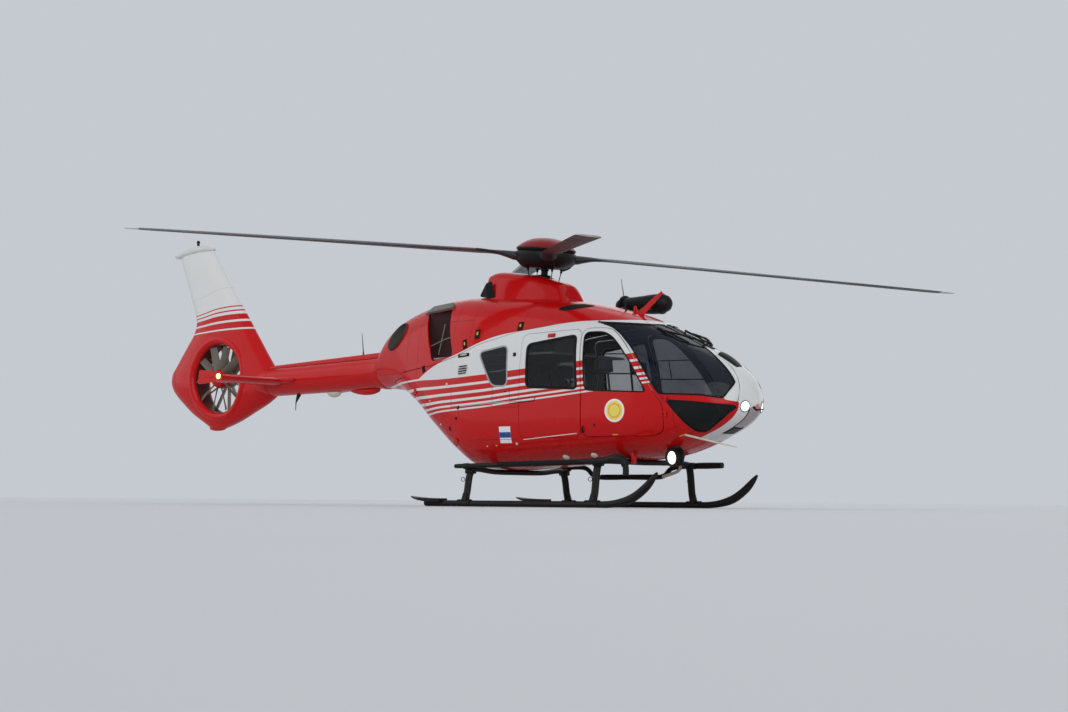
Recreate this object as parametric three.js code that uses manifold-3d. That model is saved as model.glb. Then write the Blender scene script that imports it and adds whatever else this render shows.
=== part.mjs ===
// Light twin-engine rescue helicopter on skids, four main blades, ducted tail fan.
// Millimetres. +X forward, +Y port, +Z up. Stations are measured from the rotor mast and the skid soles.
import * as THREE from 'three';
import { mergeVertices } from 'three/addons/utils/BufferGeometryUtils.js';
import Module from 'manifold-3d';

const wasm = await Module();
wasm.setup();

// Driving dimensions
const WALL = 28;
const GLASS_OUT = 3;
const GLASS_IN = 11;
const RING_POINTS = 28;
const DOOR_WALL = 18;
const CLAM_GAP = 14;
const FIN_WALL = 16;
const HINGE_GAP = 13;
const RELIEF = { depth: 8, pilot: 36, clam: 34 };
const KNUCKLE = { r: 13, length: 30, step: 30.4, arm: 7 };
const PILOT_HINGE = { at: [2345, 655, 1000], to: [2345, 655, 1100], knuckles: [50, 220],
  frameArm: [[28, -52, 0]], doorArm: [[-60, 0, 0], [-95, -40, 0]] };
const CLAM_HINGE = { at: [-802, 705, 795], to: [-1702, 572, 1496], knuckles: [10, 1060],
  frameArm: [[18, -50, 24]], doorArm: [[-35, 0, -44], [-60, -78, -76]] };
const SEAT_GAP = 0.4;
const SKID_HALF_TRACK = 1000;
const SKID_R = 38;
const SKID_Z = 35;
const CROSS_TUBE_R = 34;
const STEP_R = 31;
const ROTOR_R = 5200;
const BLADE_COUNT = 4;
const BLADE_CHORD = 290;
const BLADE_THICK = 36;
const MAST_TILT = 5 * Math.PI / 180;
const HUB = { x: 0, z: 3120 };
const FAN = { x: -5930, z: 1770, y: -95, ductR: 515, tipR: 497, hubR: 150, blades: 10 };
const DECK_Z = 1860;
const FLOOR_Z = 700;
const SMOOTH = 0.12;

// Pod sections: station, belly, roof, half width, height of widest point, upper and lower squareness
const POD = [
  { x: 3165, zb: 1170, zt: 1260, w: 40, zm: 1210, nu: 2.0, nl: 2.0 },
  { x: 3140, zb: 1110, zt: 1350, w: 125, zm: 1210, nu: 2.0, nl: 2.0 },
  { x: 3070, zb: 1030, zt: 1500, w: 265, zm: 1210, nu: 2.0, nl: 2.0 },
  { x: 2900, zb: 925, zt: 1660, w: 420, zm: 1200, nu: 2.1, nl: 2.1 },
  { x: 2620, zb: 810, zt: 1820, w: 550, zm: 1180, nu: 2.2, nl: 2.3 },
  { x: 2300, zb: 690, zt: 1970, w: 645, zm: 1160, nu: 2.4, nl: 2.5 },
  { x: 1900, zb: 600, zt: 2160, w: 715, zm: 1150, nu: 2.6, nl: 2.8 },
  { x: 1400, zb: 555, zt: 2340, w: 760, zm: 1150, nu: 2.8, nl: 3.0 },
  { x: 800, zb: 530, zt: 2480, w: 780, zm: 1150, nu: 3.0, nl: 3.2 },
  { x: 200, zb: 490, zt: 2570, w: 780, zm: 1150, nu: 3.0, nl: 3.2 },
  { x: -400, zb: 455, zt: 2610, w: 780, zm: 1180, nu: 3.0, nl: 3.2 },
  { x: -700, zb: 470, zt: 2630, w: 765, zm: 1220, nu: 3.0, nl: 3.0 },
  { x: -1000, zb: 620, zt: 2640, w: 720, zm: 1300, nu: 3.0, nl: 2.8 },
  { x: -1400, zb: 920, zt: 2620, w: 640, zm: 1450, nu: 2.8, nl: 2.6 },
  { x: -1850, zb: 1280, zt: 2540, w: 520, zm: 1650, nu: 2.6, nl: 2.4 },
  { x: -2290, zb: 1500, zt: 2400, w: 380, zm: 1800, nu: 2.4, nl: 2.2 },
  { x: -2550, zb: 1530, zt: 2240, w: 300, zm: 1820, nu: 2.2, nl: 2.1 },
  { x: -2670, zb: 1540, zt: 2100, w: 260, zm: 1810, nu: 2.0, nl: 2.0 },
];

// Mast fairing sections: station, base, top, half width, squareness
const FAIRING = [
  { x: 445, zb: 2300, zt: 2540, w: 185, n: 2.6 },
  { x: 368, zb: 2300, zt: 2735, w: 236, n: 2.8 },
  { x: 200, zb: 2300, zt: 2795, w: 290, n: 2.8 },
  { x: -10, zb: 2300, zt: 2860, w: 310, n: 2.8 },
  { x: -350, zb: 2300, zt: 2910, w: 315, n: 2.6 },
  { x: -650, zb: 2300, zt: 2950, w: 300, n: 2.6 },
  { x: -930, zb: 2300, zt: 2880, w: 280, n: 2.4 },
];

// Fin and shroud sections: height, leading edge, trailing edge, half thickness
const FIN = [
  { z: 1040, front: -6000, rear: -6120, t: 25 },
  { z: 1080, front: -5850, rear: -6190, t: 70 },
  { z: 1160, front: -5600, rear: -6335, t: 115 },
  { z: 1280, front: -5310, rear: -6560, t: 150 },
  { z: 1420, front: -4990, rear: -6760, t: 172 },
  { z: 1540, front: -4815, rear: -6915, t: 180 },
  { z: 1640, front: -4785, rear: -7010, t: 183 },
  { z: 1760, front: -4800, rear: -7055, t: 184 },
  { z: 1860, front: -4862, rear: -7035, t: 183 },
  { z: 1960, front: -4945, rear: -6955, t: 180 },
  { z: 2120, front: -5075, rear: -6825, t: 172 },
  { z: 2270, front: -5190, rear: -6700, t: 162 },
  { z: 2400, front: -5290, rear: -6595, t: 148 },
  { z: 2570, front: -5415, rear: -6530, t: 126 },
  { z: 2990, front: -5745, rear: -6672, t: 100 },
  { z: 3520, front: -6140, rear: -6900, t: 78 },
  { z: 3690, front: -6250, rear: -6975, t: 60 },
];

// Fin cap sections: station, underside, top, half width
const CAP = [
  { x: -6200, zb: 3640, zt: 3656, w: 14 },
  { x: -6225, zb: 3622, zt: 3674, w: 44 },
  { x: -6310, zb: 3608, zt: 3700, w: 70 },
  { x: -6440, zb: 3598, zt: 3724, w: 84 },
  { x: -6573, zb: 3586, zt: 3732, w: 90 },
  { x: -6750, zb: 3566, zt: 3704, w: 86 },
  { x: -6900, zb: 3552, zt: 3654, w: 66 },
  { x: -7010, zb: 3562, zt: 3620, w: 40 },
  { x: -7050, zb: 3584, zt: 3606, w: 14 },
];

// Side-view outlines, station and height
const PILOT_DOOR = [[1190, 835], [2150, 835], [2290, 900], [2300, 1180], [2160, 1345], [1915, 1695],
  [1750, 1885], [1610, 2020], [1470, 2115], [1118, 2120], [1200, 1380]];
const PILOT_WINDOW = [[1236, 1373], [2100, 1330], [1851, 1690], [1678, 1885], [1540, 2010],
  [1400, 2078], [1150, 2078]];
const SLIDING_DOOR = [[245, 830], [1175, 830], [1185, 1380], [1103, 2112], [245, 2080]];
const SLIDING_WINDOW = [[343, 1430], [1138, 1388], [1058, 2052], [322, 1962]];
const REAR_WINDOW = [[-205, 1466], [52, 1455], [22, 1965], [-440, 1892]];
const WINDSHIELD = [[2240, 1310], [2733, 1289], [2960, 1251], [3025, 1400], [3025, 2400], [1960, 2400],
  [1885, 2160], [1240, 2204], [1482, 2123], [1621, 2036], [1769, 1907], [1877, 1795]];
const CHIN = [[2320, 1248], [2625, 1226], [3060, 1176], [2902, 1007], [2716, 870], [2600, 860],
  [2482, 1055]];
const CENTRE_POST = [[1000, 60], [2360, 60], [2530, 100], [2670, 150], [2800, 194], [3018, 232],
  [3300, 250]];
const CHIN_POST = 230;
const COWL_CUT = [[1000, 2215], [170, 2125], [-440, 1990], [-850, 1850], [-1300, 1760], [-2000, 1700],
  [-2900, 1700], [-2900, 3000], [1000, 3000]];
const CLAM = [[-600, 600], [-1900, 1612], [-1960, 1640], [-2330, 1600], [-2330, 300], [-600, 300]];

const group = new THREE.Group();
const Y_SIDES = [{ name: 'right', s: -1 }, { name: 'left', s: 1 }];

// Convert a closed buffer geometry to a solid
function solid(geometry) {
  const g = geometry.index ? geometry.clone() : geometry;
  g.deleteAttribute('normal');
  g.deleteAttribute('uv');
  const merged = mergeVertices(g, 1e-3);
  return new wasm.Manifold(new wasm.Mesh({
    numProp: 3,
    vertProperties: new Float32Array(merged.attributes.position.array),
    triVerts: new Uint32Array(merged.index.array),
  }));
}

// Put a solid into the group under its name
function part(name, body) {
  const mesh = body.simplify(SMOOTH).getMesh();
  const g = new THREE.BufferGeometry();
  g.setAttribute('position', new THREE.BufferAttribute(new Float32Array(mesh.vertProperties), 3));
  g.setIndex(new THREE.BufferAttribute(new Uint32Array(mesh.triVerts), 1));
  const m = new THREE.Mesh(g);
  m.name = name;
  group.add(m);
}

function block(x0, x1, y0, y1, z0, z1) {
  const g = new THREE.BoxGeometry(Math.abs(x1 - x0), Math.abs(y1 - y0), Math.abs(z1 - z0));
  g.translate((x0 + x1) / 2, (y0 + y1) / 2, (z0 + z1) / 2);
  return solid(g);
}

// Round cylinder or cone between two points
function rod(a, b, r0, r1 = r0, sides = 20) {
  const from = new THREE.Vector3(...a);
  const to = new THREE.Vector3(...b);
  const along = to.clone().sub(from);
  const g = new THREE.CylinderGeometry(r1, r0, along.length(), sides);
  const up = new THREE.Vector3(0, 1, 0);
  g.applyQuaternion(new THREE.Quaternion().setFromUnitVectors(up, along.clone().normalize()));
  const mid = from.add(to).multiplyScalar(0.5);
  g.translate(mid.x, mid.y, mid.z);
  return solid(g);
}

// Tube bent along a smooth curve through the points
function bentTube(points, r, steps = 24, sides = 14) {
  const spots = points.map((p) => new THREE.Vector3(...p));
  const curve = new THREE.CatmullRomCurve3(spots, false, 'centripetal');
  const shape = new THREE.Shape();
  shape.absarc(0, 0, r, 0, Math.PI * 2, false);
  const along = { steps, curveSegments: sides / 2, extrudePath: curve, bevelEnabled: false };
  return solid(new THREE.ExtrudeGeometry(shape, along));
}

// Counter-clockwise copy of an outline
function oriented(points) {
  let area = 0;
  points.forEach((p, i) => {
    const q = points[(i + 1) % points.length];
    area += p[0] * q[1] - q[0] * p[1];
  });
  return area > 0 ? points.slice() : points.slice().reverse();
}

// Outline with every corner rounded
function rounded(points, radius, steps = 3) {
  const list = oriented(points);
  const out = [];
  list.forEach((p, i) => {
    const a = list[(i + list.length - 1) % list.length];
    const b = list[(i + 1) % list.length];
    const toward = (q) => {
      const len = Math.hypot(q[0] - p[0], q[1] - p[1]);
      const k = Math.min(radius, len * 0.45) / len;
      return [p[0] + (q[0] - p[0]) * k, p[1] + (q[1] - p[1]) * k];
    };
    const s = toward(a);
    const e = toward(b);
    for (let j = 0; j <= steps; j += 1) {
      const t = j / steps;
      const u = 1 - t;
      out.push([0, 1].map((k) => u * u * s[k] + 2 * u * t * p[k] + t * t * e[k]));
    }
  });
  return out;
}

// Outline moved outward by d, inward when d is negative
function offset(points, d) {
  const list = oriented(points);
  return list.map((p, i) => {
    const a = list[(i + list.length - 1) % list.length];
    const b = list[(i + 1) % list.length];
    const n1 = new THREE.Vector2(p[1] - a[1], a[0] - p[0]).normalize();
    const n2 = new THREE.Vector2(b[1] - p[1], p[0] - b[0]).normalize();
    const m = n1.clone().add(n2).normalize();
    const k = d / Math.max(0.35, m.dot(n1));
    return [p[0] + m.x * k, p[1] + m.y * k];
  });
}

// Side-view outline pushed sideways from y0 to y1
function prismY(points, y0, y1) {
  const shape = new THREE.Shape(oriented(points).map((p) => new THREE.Vector2(p[0], p[1])));
  const g = new THREE.ExtrudeGeometry(shape, { depth: y1 - y0, bevelEnabled: false, steps: 1 });
  g.rotateX(Math.PI / 2);
  g.translate(0, y1, 0);
  return solid(g);
}

// Skin over a list of equal rings, closed at both ends
function skin(rings) {
  const n = rings[0].length;
  const pos = [];
  const index = [];
  rings.forEach((ring) => ring.forEach((p) => pos.push(...p)));
  for (let i = 0; i < rings.length - 1; i += 1) {
    for (let j = 0; j < n; j += 1) {
      const a = i * n + j;
      const b = i * n + ((j + 1) % n);
      index.push(a, a + n, b, b, a + n, b + n);
    }
  }
  [0, rings.length - 1].forEach((r) => {
    const c = rings[r].reduce((s, p) => [s[0] + p[0] / n, s[1] + p[1] / n, s[2] + p[2] / n], [0, 0, 0]);
    const k = pos.length / 3;
    pos.push(...c);
    for (let j = 0; j < n; j += 1) {
      const a = r * n + j;
      const b = r * n + ((j + 1) % n);
      if (r === 0) index.push(k, a, b);
      else index.push(k, b, a);
    }
  });
  const g = new THREE.BufferGeometry();
  g.setAttribute('position', new THREE.BufferAttribute(new Float32Array(pos), 3));
  g.setIndex(index);
  const body = solid(g);
  return body.volume() > 0 ? body : skin(rings.slice().reverse());
}

const power = (v, n) => Math.sign(v) * Math.abs(v) ** (2 / n);

// Pod section at one row, drawn in by inset
function podRing(row, inset) {
  const ring = [];
  const hi = row.zt - row.zm - inset;
  const lo = row.zm - row.zb - inset;
  for (let i = 0; i < RING_POINTS; i += 1) {
    const t = (i / RING_POINTS) * Math.PI * 2;
    const n = Math.sin(t) >= 0 ? row.nu : row.nl;
    const h = Math.sin(t) >= 0 ? hi : lo;
    ring.push([row.x, (row.w - inset) * power(Math.cos(t), n), row.zm + h * power(Math.sin(t), n)]);
  }
  return ring;
}

// Whole pod, its ends drawn in with the sides
function pod(inset) {
  const mid = 240;
  const half = 2910;
  const k = (half - inset) / half;
  const rows = POD.filter((r) => r.w > inset + 8 && Math.min(r.zt - r.zm, r.zm - r.zb) > inset + 5);
  return skin(rows.map((r) => podRing({ ...r, x: mid + (r.x - mid) * k }, inset)));
}

const OUTER = pod(0);
const INNER = pod(WALL);
const SHELL = OUTER.subtract(INNER);
const DOOR_SHELL = OUTER.subtract(pod(DOOR_WALL));
const PANE = pod(GLASS_OUT).subtract(pod(GLASS_IN));

// One side of the craft, port or starboard, clear of the centre line by gap
function half(s, gap) {
  return s < 0 ? block(-9000, 9000, -3000, -gap, -100, 5000) : block(-9000, 9000, gap, 3000, -100, 5000);
}

// Outline prism on one side only
function sidePrism(points, s) {
  return s < 0 ? prismY(points, -1200, -60) : prismY(points, 60, 1200);
}

const PILOT_DOOR_LINE = rounded(PILOT_DOOR, 110, 2);
const PILOT_WINDOW_LINE = rounded(PILOT_WINDOW, 70, 2);
const SLIDING_DOOR_LINE = rounded(SLIDING_DOOR, 90);
const SLIDING_WINDOW_LINE = rounded(SLIDING_WINDOW, 80);
const REAR_WINDOW_LINE = rounded(REAR_WINDOW, 60);
const WINDSHIELD_LINE = rounded(WINDSHIELD, 60);
const CHIN_LINE = rounded(CHIN, 55);

// Rear loading doors are the shell behind and below this outline
const CLAM_LINE = rounded(CLAM, 110);
function clamCut(grow) {
  return prismY(offset(CLAM_LINE, grow), -1200, 1200);
}

// Point on a door hinge axis, t along it
function hingePoint(h, s, t) {
  const d = new THREE.Vector3(...h.to).sub(new THREE.Vector3(...h.at)).normalize().multiplyScalar(t);
  return new THREE.Vector3(h.at[0] + d.x, s * (h.at[1] + d.y), h.at[2] + d.z);
}

// Knuckles and arms of one hinge, on the frame (which = 0) or on the door (which = 1)
function knuckles(h, s, which) {
  const reach = which === 0 ? h.frameArm : h.doorArm;
  const parts = h.knuckles.map((t) => {
    const a = hingePoint(h, s, t + which * KNUCKLE.step);
    const b = hingePoint(h, s, t + which * KNUCKLE.step + KNUCKLE.length);
    const mid = a.clone().add(b).multiplyScalar(0.5);
    let body = rod(a.toArray(), b.toArray(), KNUCKLE.r, KNUCKLE.r, 12);
    let from = mid.toArray();
    reach.forEach((step) => {
      const end = [mid.x + step[0], mid.y + s * step[1], mid.z + step[2]];
      body = body.add(rod(from, end, KNUCKLE.arm, KNUCKLE.arm, 8));
      from = end;
    });
    return body;
  });
  return parts.reduce((x, y) => x.add(y));
}

// Post between the windshields, wider toward the nose
function centrePost(grow) {
  const port = CENTRE_POST.map(([x, y]) => new THREE.Vector2(x, y + grow));
  const shape = new THREE.Shape([...port, ...port.map((p) => new THREE.Vector2(p.x, -p.y)).reverse()]);
  return solid(new THREE.ExtrudeGeometry(shape, { depth: 3000, bevelEnabled: false, steps: 1 }));
}

// Cabin frame: the lower shell with every door and window taken out, and its hinge knuckles
function cabinFrame() {
  let body = SHELL.subtract(prismY(offset(COWL_CUT, 1.5), -1200, 1200));
  body = body.subtract(clamCut(CLAM_GAP));
  body = body.subtract(clamCut(RELIEF.clam).intersect(pod(RELIEF.depth)));
  Y_SIDES.forEach(({ s }) => {
    body = body.subtract(sidePrism(offset(PILOT_DOOR_LINE, HINGE_GAP), s));
    body = body.subtract(sidePrism(offset(PILOT_DOOR_LINE, RELIEF.pilot), s).intersect(pod(RELIEF.depth)));
    body = body.add(knuckles(PILOT_HINGE, s, 0)).add(knuckles(CLAM_HINGE, s, 0));
    body = body.subtract(sidePrism(offset(SLIDING_DOOR_LINE, 5), s));
    body = body.subtract(sidePrism(REAR_WINDOW_LINE, s));
    const pane = prismY(WINDSHIELD_LINE, s < 0 ? -1200 : 0, s < 0 ? 0 : 1200);
    body = body.subtract(pane.subtract(centrePost(0)));
    body = body.subtract(prismY(CHIN_LINE, s < 0 ? -1200 : CHIN_POST, s < 0 ? -CHIN_POST : 1200));
  });
  return body;
}

function deckPlate() {
  const slab = INNER.intersect(block(-2200, 700, -900, 900, DECK_Z - 26, DECK_Z));
  return slab.intersect(pod(WALL + 0.5));
}

// Glass cut from the pane shell
function glass(line, s) {
  return PANE.intersect(sidePrism(offset(line, -SEAT_GAP), s));
}

function centreGlass(line, s, inner) {
  const y0 = inner + SEAT_GAP;
  return PANE.intersect(prismY(offset(line, -SEAT_GAP), s < 0 ? -1200 : y0, s < 0 ? -y0 : 1200));
}

function windshield(s) {
  return centreGlass(WINDSHIELD_LINE, s, 0).subtract(centrePost(SEAT_GAP));
}

// Keep only the largest piece of a solid
function largest(body) {
  return body.decompose().sort((a, b) => b.volume() - a.volume())[0];
}

part('cabin_frame', largest(cabinFrame()));
part('engine_deck', largest(deckPlate()));
const floorSlab = block(-1050, 2250, -900, 900, FLOOR_Z - 30, FLOOR_Z);
part('cabin_floor', largest(pod(WALL + 0.5).intersect(floorSlab)));

Y_SIDES.forEach(({ name, s }) => {
  part(`windshield_${name}`, largest(windshield(s)));
  part(`chin_window_${name}`, largest(centreGlass(CHIN_LINE, s, CHIN_POST)));
  part(`rear_window_${name}`, largest(glass(REAR_WINDOW_LINE, s)));
  const sliding = SHELL.intersect(sidePrism(SLIDING_DOOR_LINE, s))
    .subtract(sidePrism(SLIDING_WINDOW_LINE, s));
  part(`sliding_door_${name}`, largest(sliding));
  part(`sliding_window_${name}`, largest(glass(SLIDING_WINDOW_LINE, s)));
  const pilot = DOOR_SHELL.intersect(sidePrism(PILOT_DOOR_LINE, s))
    .subtract(sidePrism(PILOT_WINDOW_LINE, s));
  part(`pilot_door_${name}`, largest(pilot.add(knuckles(PILOT_HINGE, s, 1))));
  part(`pilot_window_${name}`, largest(glass(PILOT_WINDOW_LINE, s)));
  const clam = DOOR_SHELL.intersect(clamCut(0)).intersect(half(s, 4));
  part(`clamshell_${name}`, largest(clam.add(knuckles(CLAM_HINGE, s, 1))));
});

// Engine cowling with intake and exhaust holes and the mast opening
function cowling() {
  let body = SHELL.intersect(prismY(COWL_CUT, -1200, 1200));
  body = body.subtract(rod([0, 0, 2300], [0, 0, 2900], 230, 230, 28));
  Y_SIDES.forEach(({ s }) => {
    const bay = rounded([[-1315, 1815], [-902, 1872], [-1120, 2490], [-1600, 2455]], 50);
    body = body.subtract(sidePrism(bay, s));
    body = body.subtract(rod([-1740, s * 226, 2143], [-2650, s * 481, 2214], 130.5, 130.5, 24));
  });
  return body;
}
part('engine_cowling', largest(cowling()));

// Mast fairing, open at the rear
function fairingRing(row, inset) {
  const ring = [];
  for (let i = 0; i < RING_POINTS; i += 1) {
    const t = (i / RING_POINTS) * Math.PI * 2;
    const z = (row.zt + row.zb) / 2;
    const up = ((row.zt - row.zb) / 2 - inset) * power(Math.sin(t), row.n);
    ring.push([row.x, (row.w - inset) * power(Math.cos(t), row.n), z + up]);
  }
  return ring;
}

function mastFairing() {
  const outside = skin(FAIRING.map((r) => fairingRing(r, 0)));
  const rows = FAIRING.slice(1).map((r) => fairingRing({ ...r, x: r.x - 20 }, 22));
  const inside = skin(rows);
  const rake = [[-788, 3050], [-790, 2930], [-670, 2550], [-670, 2300], [-1200, 2300], [-1200, 3050]];
  const behind = prismY(rake, -500, 500);
  const shell = outside.subtract(inside).subtract(behind);
  return shell.subtract(pod(-0.5)).subtract(rod([-20, 0, 2500], [30, 0, 3100], 150, 150, 28));
}
part('mast_fairing', largest(mastFairing()));

Y_SIDES.forEach(({ name, s }) => {
  const engine = block(-1700, -700, s * 70, s * 390, DECK_Z + 40, DECK_Z + 450);
  const feet = block(-1450, -1350, s * 120, s * 350, DECK_Z + 0.3, DECK_Z + 41)
    .add(block(-950, -850, s * 120, s * 350, DECK_Z + 0.3, DECK_Z + 41));
  part(`engine_${name}`, engine.add(feet));
  const duct = rod([-1740, s * 226, 2143], [-2650, s * 481, 2214], 130, 130, 24)
    .subtract(rod([-1640, s * 197.6, 2135], [-2650, s * 481, 2214], 122, 122, 24));
  part(`exhaust_${name}`, duct.intersect(pod(-25)));
});
const boss = lathe([[0, -830], [150, -830], [120, -545.4], [0, -545.4]], 28);
part('main_gearbox', block(-380, 380, -270, 270, DECK_Z + 0.3, 2330).add(tilted(boss)));

// Tail boom tube, with a slot for the stabilizer
const BOOM = { x0: -2672, x1: -4950, z0: 1755, z1: 1685, r0: 215, r1: 195 };
function boomSolid(grow) {
  const a = [BOOM.x0 + grow, 0, BOOM.z0];
  const b = [BOOM.x1 - grow, 0, BOOM.z1];
  return rod(a, b, BOOM.r0 + grow, BOOM.r1 + grow, 32);
}

// Stabilizer: flat wing through the boom
function stabilizerBody(grow) {
  const rows = [-1325, -1290, 1290, 1325].map((y) => {
    const tip = Math.abs(y) > 1300 ? 0.6 : 1;
    const ring = [];
    for (let i = 0; i < 20; i += 1) {
      const t = (i / 20) * Math.PI * 2;
      const x = -4720 + (240 + grow) * (tip < 1 ? 0.9 : 1) * Math.cos(t);
      const thick = (44 * tip + grow) * power(Math.sin(t), 1.6);
      ring.push([x, y, 1695 + thick]);
    }
    return ring;
  });
  return skin(rows);
}
const boomBore = boomSolid(-12)
  .add(rod([BOOM.x0 + 50, 0, BOOM.z0 + 1.5], [BOOM.x0 - 60, 0, BOOM.z0 - 2], 202, 202, 32))
  .add(rod([BOOM.x1 + 60, 0, BOOM.z1], [BOOM.x1 - 60, 0, BOOM.z1], 182, 182, 32));
const boom = boomSolid(0).subtract(boomBore);
part('tail_boom', largest(boom.subtract(stabilizerBody(0.5)).subtract(pod(-0.4))));
part('stabilizer', stabilizerBody(0));
function shaftCover(grow) {
  return rod([-2680, 0, 1968], [-5030, 0, 1861], 62 + grow, 51 + grow, 20).scale([1, 1.4, 1]);
}
part('drive_shaft_cover', largest(shaftCover(0).subtract(boomSolid(0.4)).subtract(pod(-0.4))));

// Fin and fan shroud
function finSolid(rows, inset) {
  const rings = rows.map((r) => {
    const ring = [];
    const c = (r.front + r.rear) / 2;
    const a = (r.front - r.rear) / 2 - inset;
    for (let i = 0; i < 24; i += 1) {
      const t = (i / 24) * Math.PI * 2;
      ring.push([c + a * power(Math.cos(t), 2.3), (r.t - inset) * power(Math.sin(t), 2.3), r.z]);
    }
    return ring;
  });
  const above = [[-7300, 3520], [-6180, 3672], [-6100, 3672], [-6100, 3900], [-7300, 3900]];
  const top = prismY(above, -300, 300);
  return skin(rings).subtract(top.translate([0, 0, -inset]));
}
function ductCut(grow) {
  return rod([FAN.x, -400, FAN.z], [FAN.x, 400, FAN.z], FAN.ductR + grow, FAN.ductR + grow, 40);
}
const finHollow = finSolid(FIN.slice(2), FIN_WALL).subtract(ductCut(FIN_WALL));
function finCap(grow) {
  return skin(CAP.map((r) => {
    const mid = (r.zt + r.zb) / 2;
    const ring = [];
    for (let i = 0; i < 20; i += 1) {
      const t = (i / 20) * Math.PI * 2;
      const up = ((r.zt - r.zb) / 2 + grow) * power(Math.sin(t), 2.4);
      const x = -6620 + (r.x + 6620) * (1 + grow / 430);
      ring.push([x, (r.w + grow) * power(Math.cos(t), 2.4), mid + up]);
    }
    return ring;
  }));
}
part('fin_cap', finCap(0));
const bumper = new THREE.SphereGeometry(1, 18, 8);
bumper.scale(170, 60, 45);
bumper.translate(-6060, 0, 1076);
const shroud = finSolid(FIN, 0).subtract(finHollow).add(solid(bumper)).subtract(ductCut(0));
const seated = shroud.subtract(finCap(0.5)).subtract(boomSolid(0.5)).subtract(stabilizerBody(0.5));
part('fin_shroud', largest(seated.subtract(shaftCover(0.8))));

// Stator: vanes and gearbox behind the fan
function stator() {
  let body = rod([FAN.x, 12.4, FAN.z], [FAN.x, 165, FAN.z], 130, 105, 32);
  for (let i = 0; i < 11; i += 1) {
    const vane = new THREE.BoxGeometry(FAN.ductR - 90 - 0.6, 80, 14);
    vane.translate(90 + (FAN.ductR - 90 - 0.6) / 2, 0, 0);
    vane.rotateX(0.35);
    vane.rotateY((i / 11) * Math.PI * 2 + 0.15);
    vane.translate(FAN.x, 95, FAN.z);
    body = body.add(solid(vane));
  }
  const limit = rod([FAN.x, -300, FAN.z], [FAN.x, 300, FAN.z], FAN.ductR - 0.4, FAN.ductR - 0.4, 40);
  return body.intersect(limit);
}
part('fan_stator', largest(stator()));

function fan() {
  let body = rod([FAN.x, FAN.y - 75, FAN.z], [FAN.x, 12, FAN.z], FAN.hubR, FAN.hubR, 32);
  for (let i = 0; i < FAN.blades; i += 1) {
    const span = FAN.tipR - 100;
    const blade = new THREE.BoxGeometry(span, 16, 76);
    blade.translate(100 + span / 2, 0, 0);
    blade.rotateX(0.6);
    blade.rotateY((i / FAN.blades) * Math.PI * 2);
    blade.translate(FAN.x, FAN.y, FAN.z);
    body = body.add(solid(blade));
  }
  return body;
}
part('tail_fan', fan());

// Skids, cross tubes and steps
Y_SIDES.forEach(({ name, s }) => {
  const y = s * SKID_HALF_TRACK;
  const path = [[-1050, y, SKID_Z], [-300, y, SKID_Z], [600, y, SKID_Z], [1500, y, SKID_Z],
    [1850, y, SKID_Z + 8], [2120, y, 105], [2330, y, 235], [2490, y, 400]];
  part(`skid_${name}`, bentTube(path, SKID_R, 26, 12).intersect(block(-9000, 9000, -2000, 2000, 0, 1000)));
});

const CROSS = [{ name: 'front_cross_tube', x: 1560, z: 538 }, { name: 'rear_cross_tube', x: -420, z: 424 }];
function crossTube({ x, z }, grow) {
  const up = Math.max(z, 455);
  const leg = [[985, SKID_R + 34], [955, 180], [905, up - 60], [800, up], [450, z + 4]];
  const arch = [...leg.map(([y, h]) => [x, -y, h]), [x, 0, z], ...leg.map(([y, h]) => [x, y, h]).reverse()];
  const tube = bentTube(arch, CROSS_TUBE_R + grow, 36, 12).translate([-x, 0, 0]);
  return tube.scale([1.5, 1, 1]).translate([x, 0, 0]);
}
CROSS.forEach(({ name, x, z }) => {
  let tube = crossTube({ x, z }, 0);
  Y_SIDES.forEach(({ s }) => {
    const y = s * SKID_HALF_TRACK;
    const below = block(-9000, 9000, -3000, 3000, -200, SKID_Z);
    tube = tube.add(rod([x - 90, y, SKID_Z], [x + 90, y, SKID_Z], 52, 52, 20).subtract(below));
    const runner = rod([x - 200, y, SKID_Z], [x + 200, y, SKID_Z], SKID_R + 0.5, SKID_R + 0.5, 24);
    tube = tube.subtract(runner);
  });
  part(name, largest(tube.subtract(pod(-0.5))));
});

// Boarding steps, each on a bracket at both cross tubes
const STEPS = [
  {
    name: 'right',
    s: -1,
    brackets: [490, 535],
    path: [[-600, 490], [0, 500], [1000, 520], [1850, 545], [1960, 530], [2000, 460], [2005, 390]],
  },
  {
    name: 'left',
    s: 1,
    brackets: [490, 508],
    path: [[-600, 490], [-150, 500], [60, 385], [560, 378], [1080, 385], [1300, 500], [2000, 520]],
  },
];
STEPS.forEach(({ name, s, brackets, path }) => {
  let bar = bentTube(path.map(([x, z]) => [x, s * 975, z]), STEP_R, 32, 10);
  [CROSS[1], CROSS[0]].forEach((tube, i) => {
    bar = bar.add(rod([tube.x, s * 975, brackets[i]], [tube.x, s * 880, brackets[i] - 70], 15, 15, 12));
    bar = bar.subtract(crossTube(tube, 0.4));
  });
  part(`step_${name}`, largest(bar));
});

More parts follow.
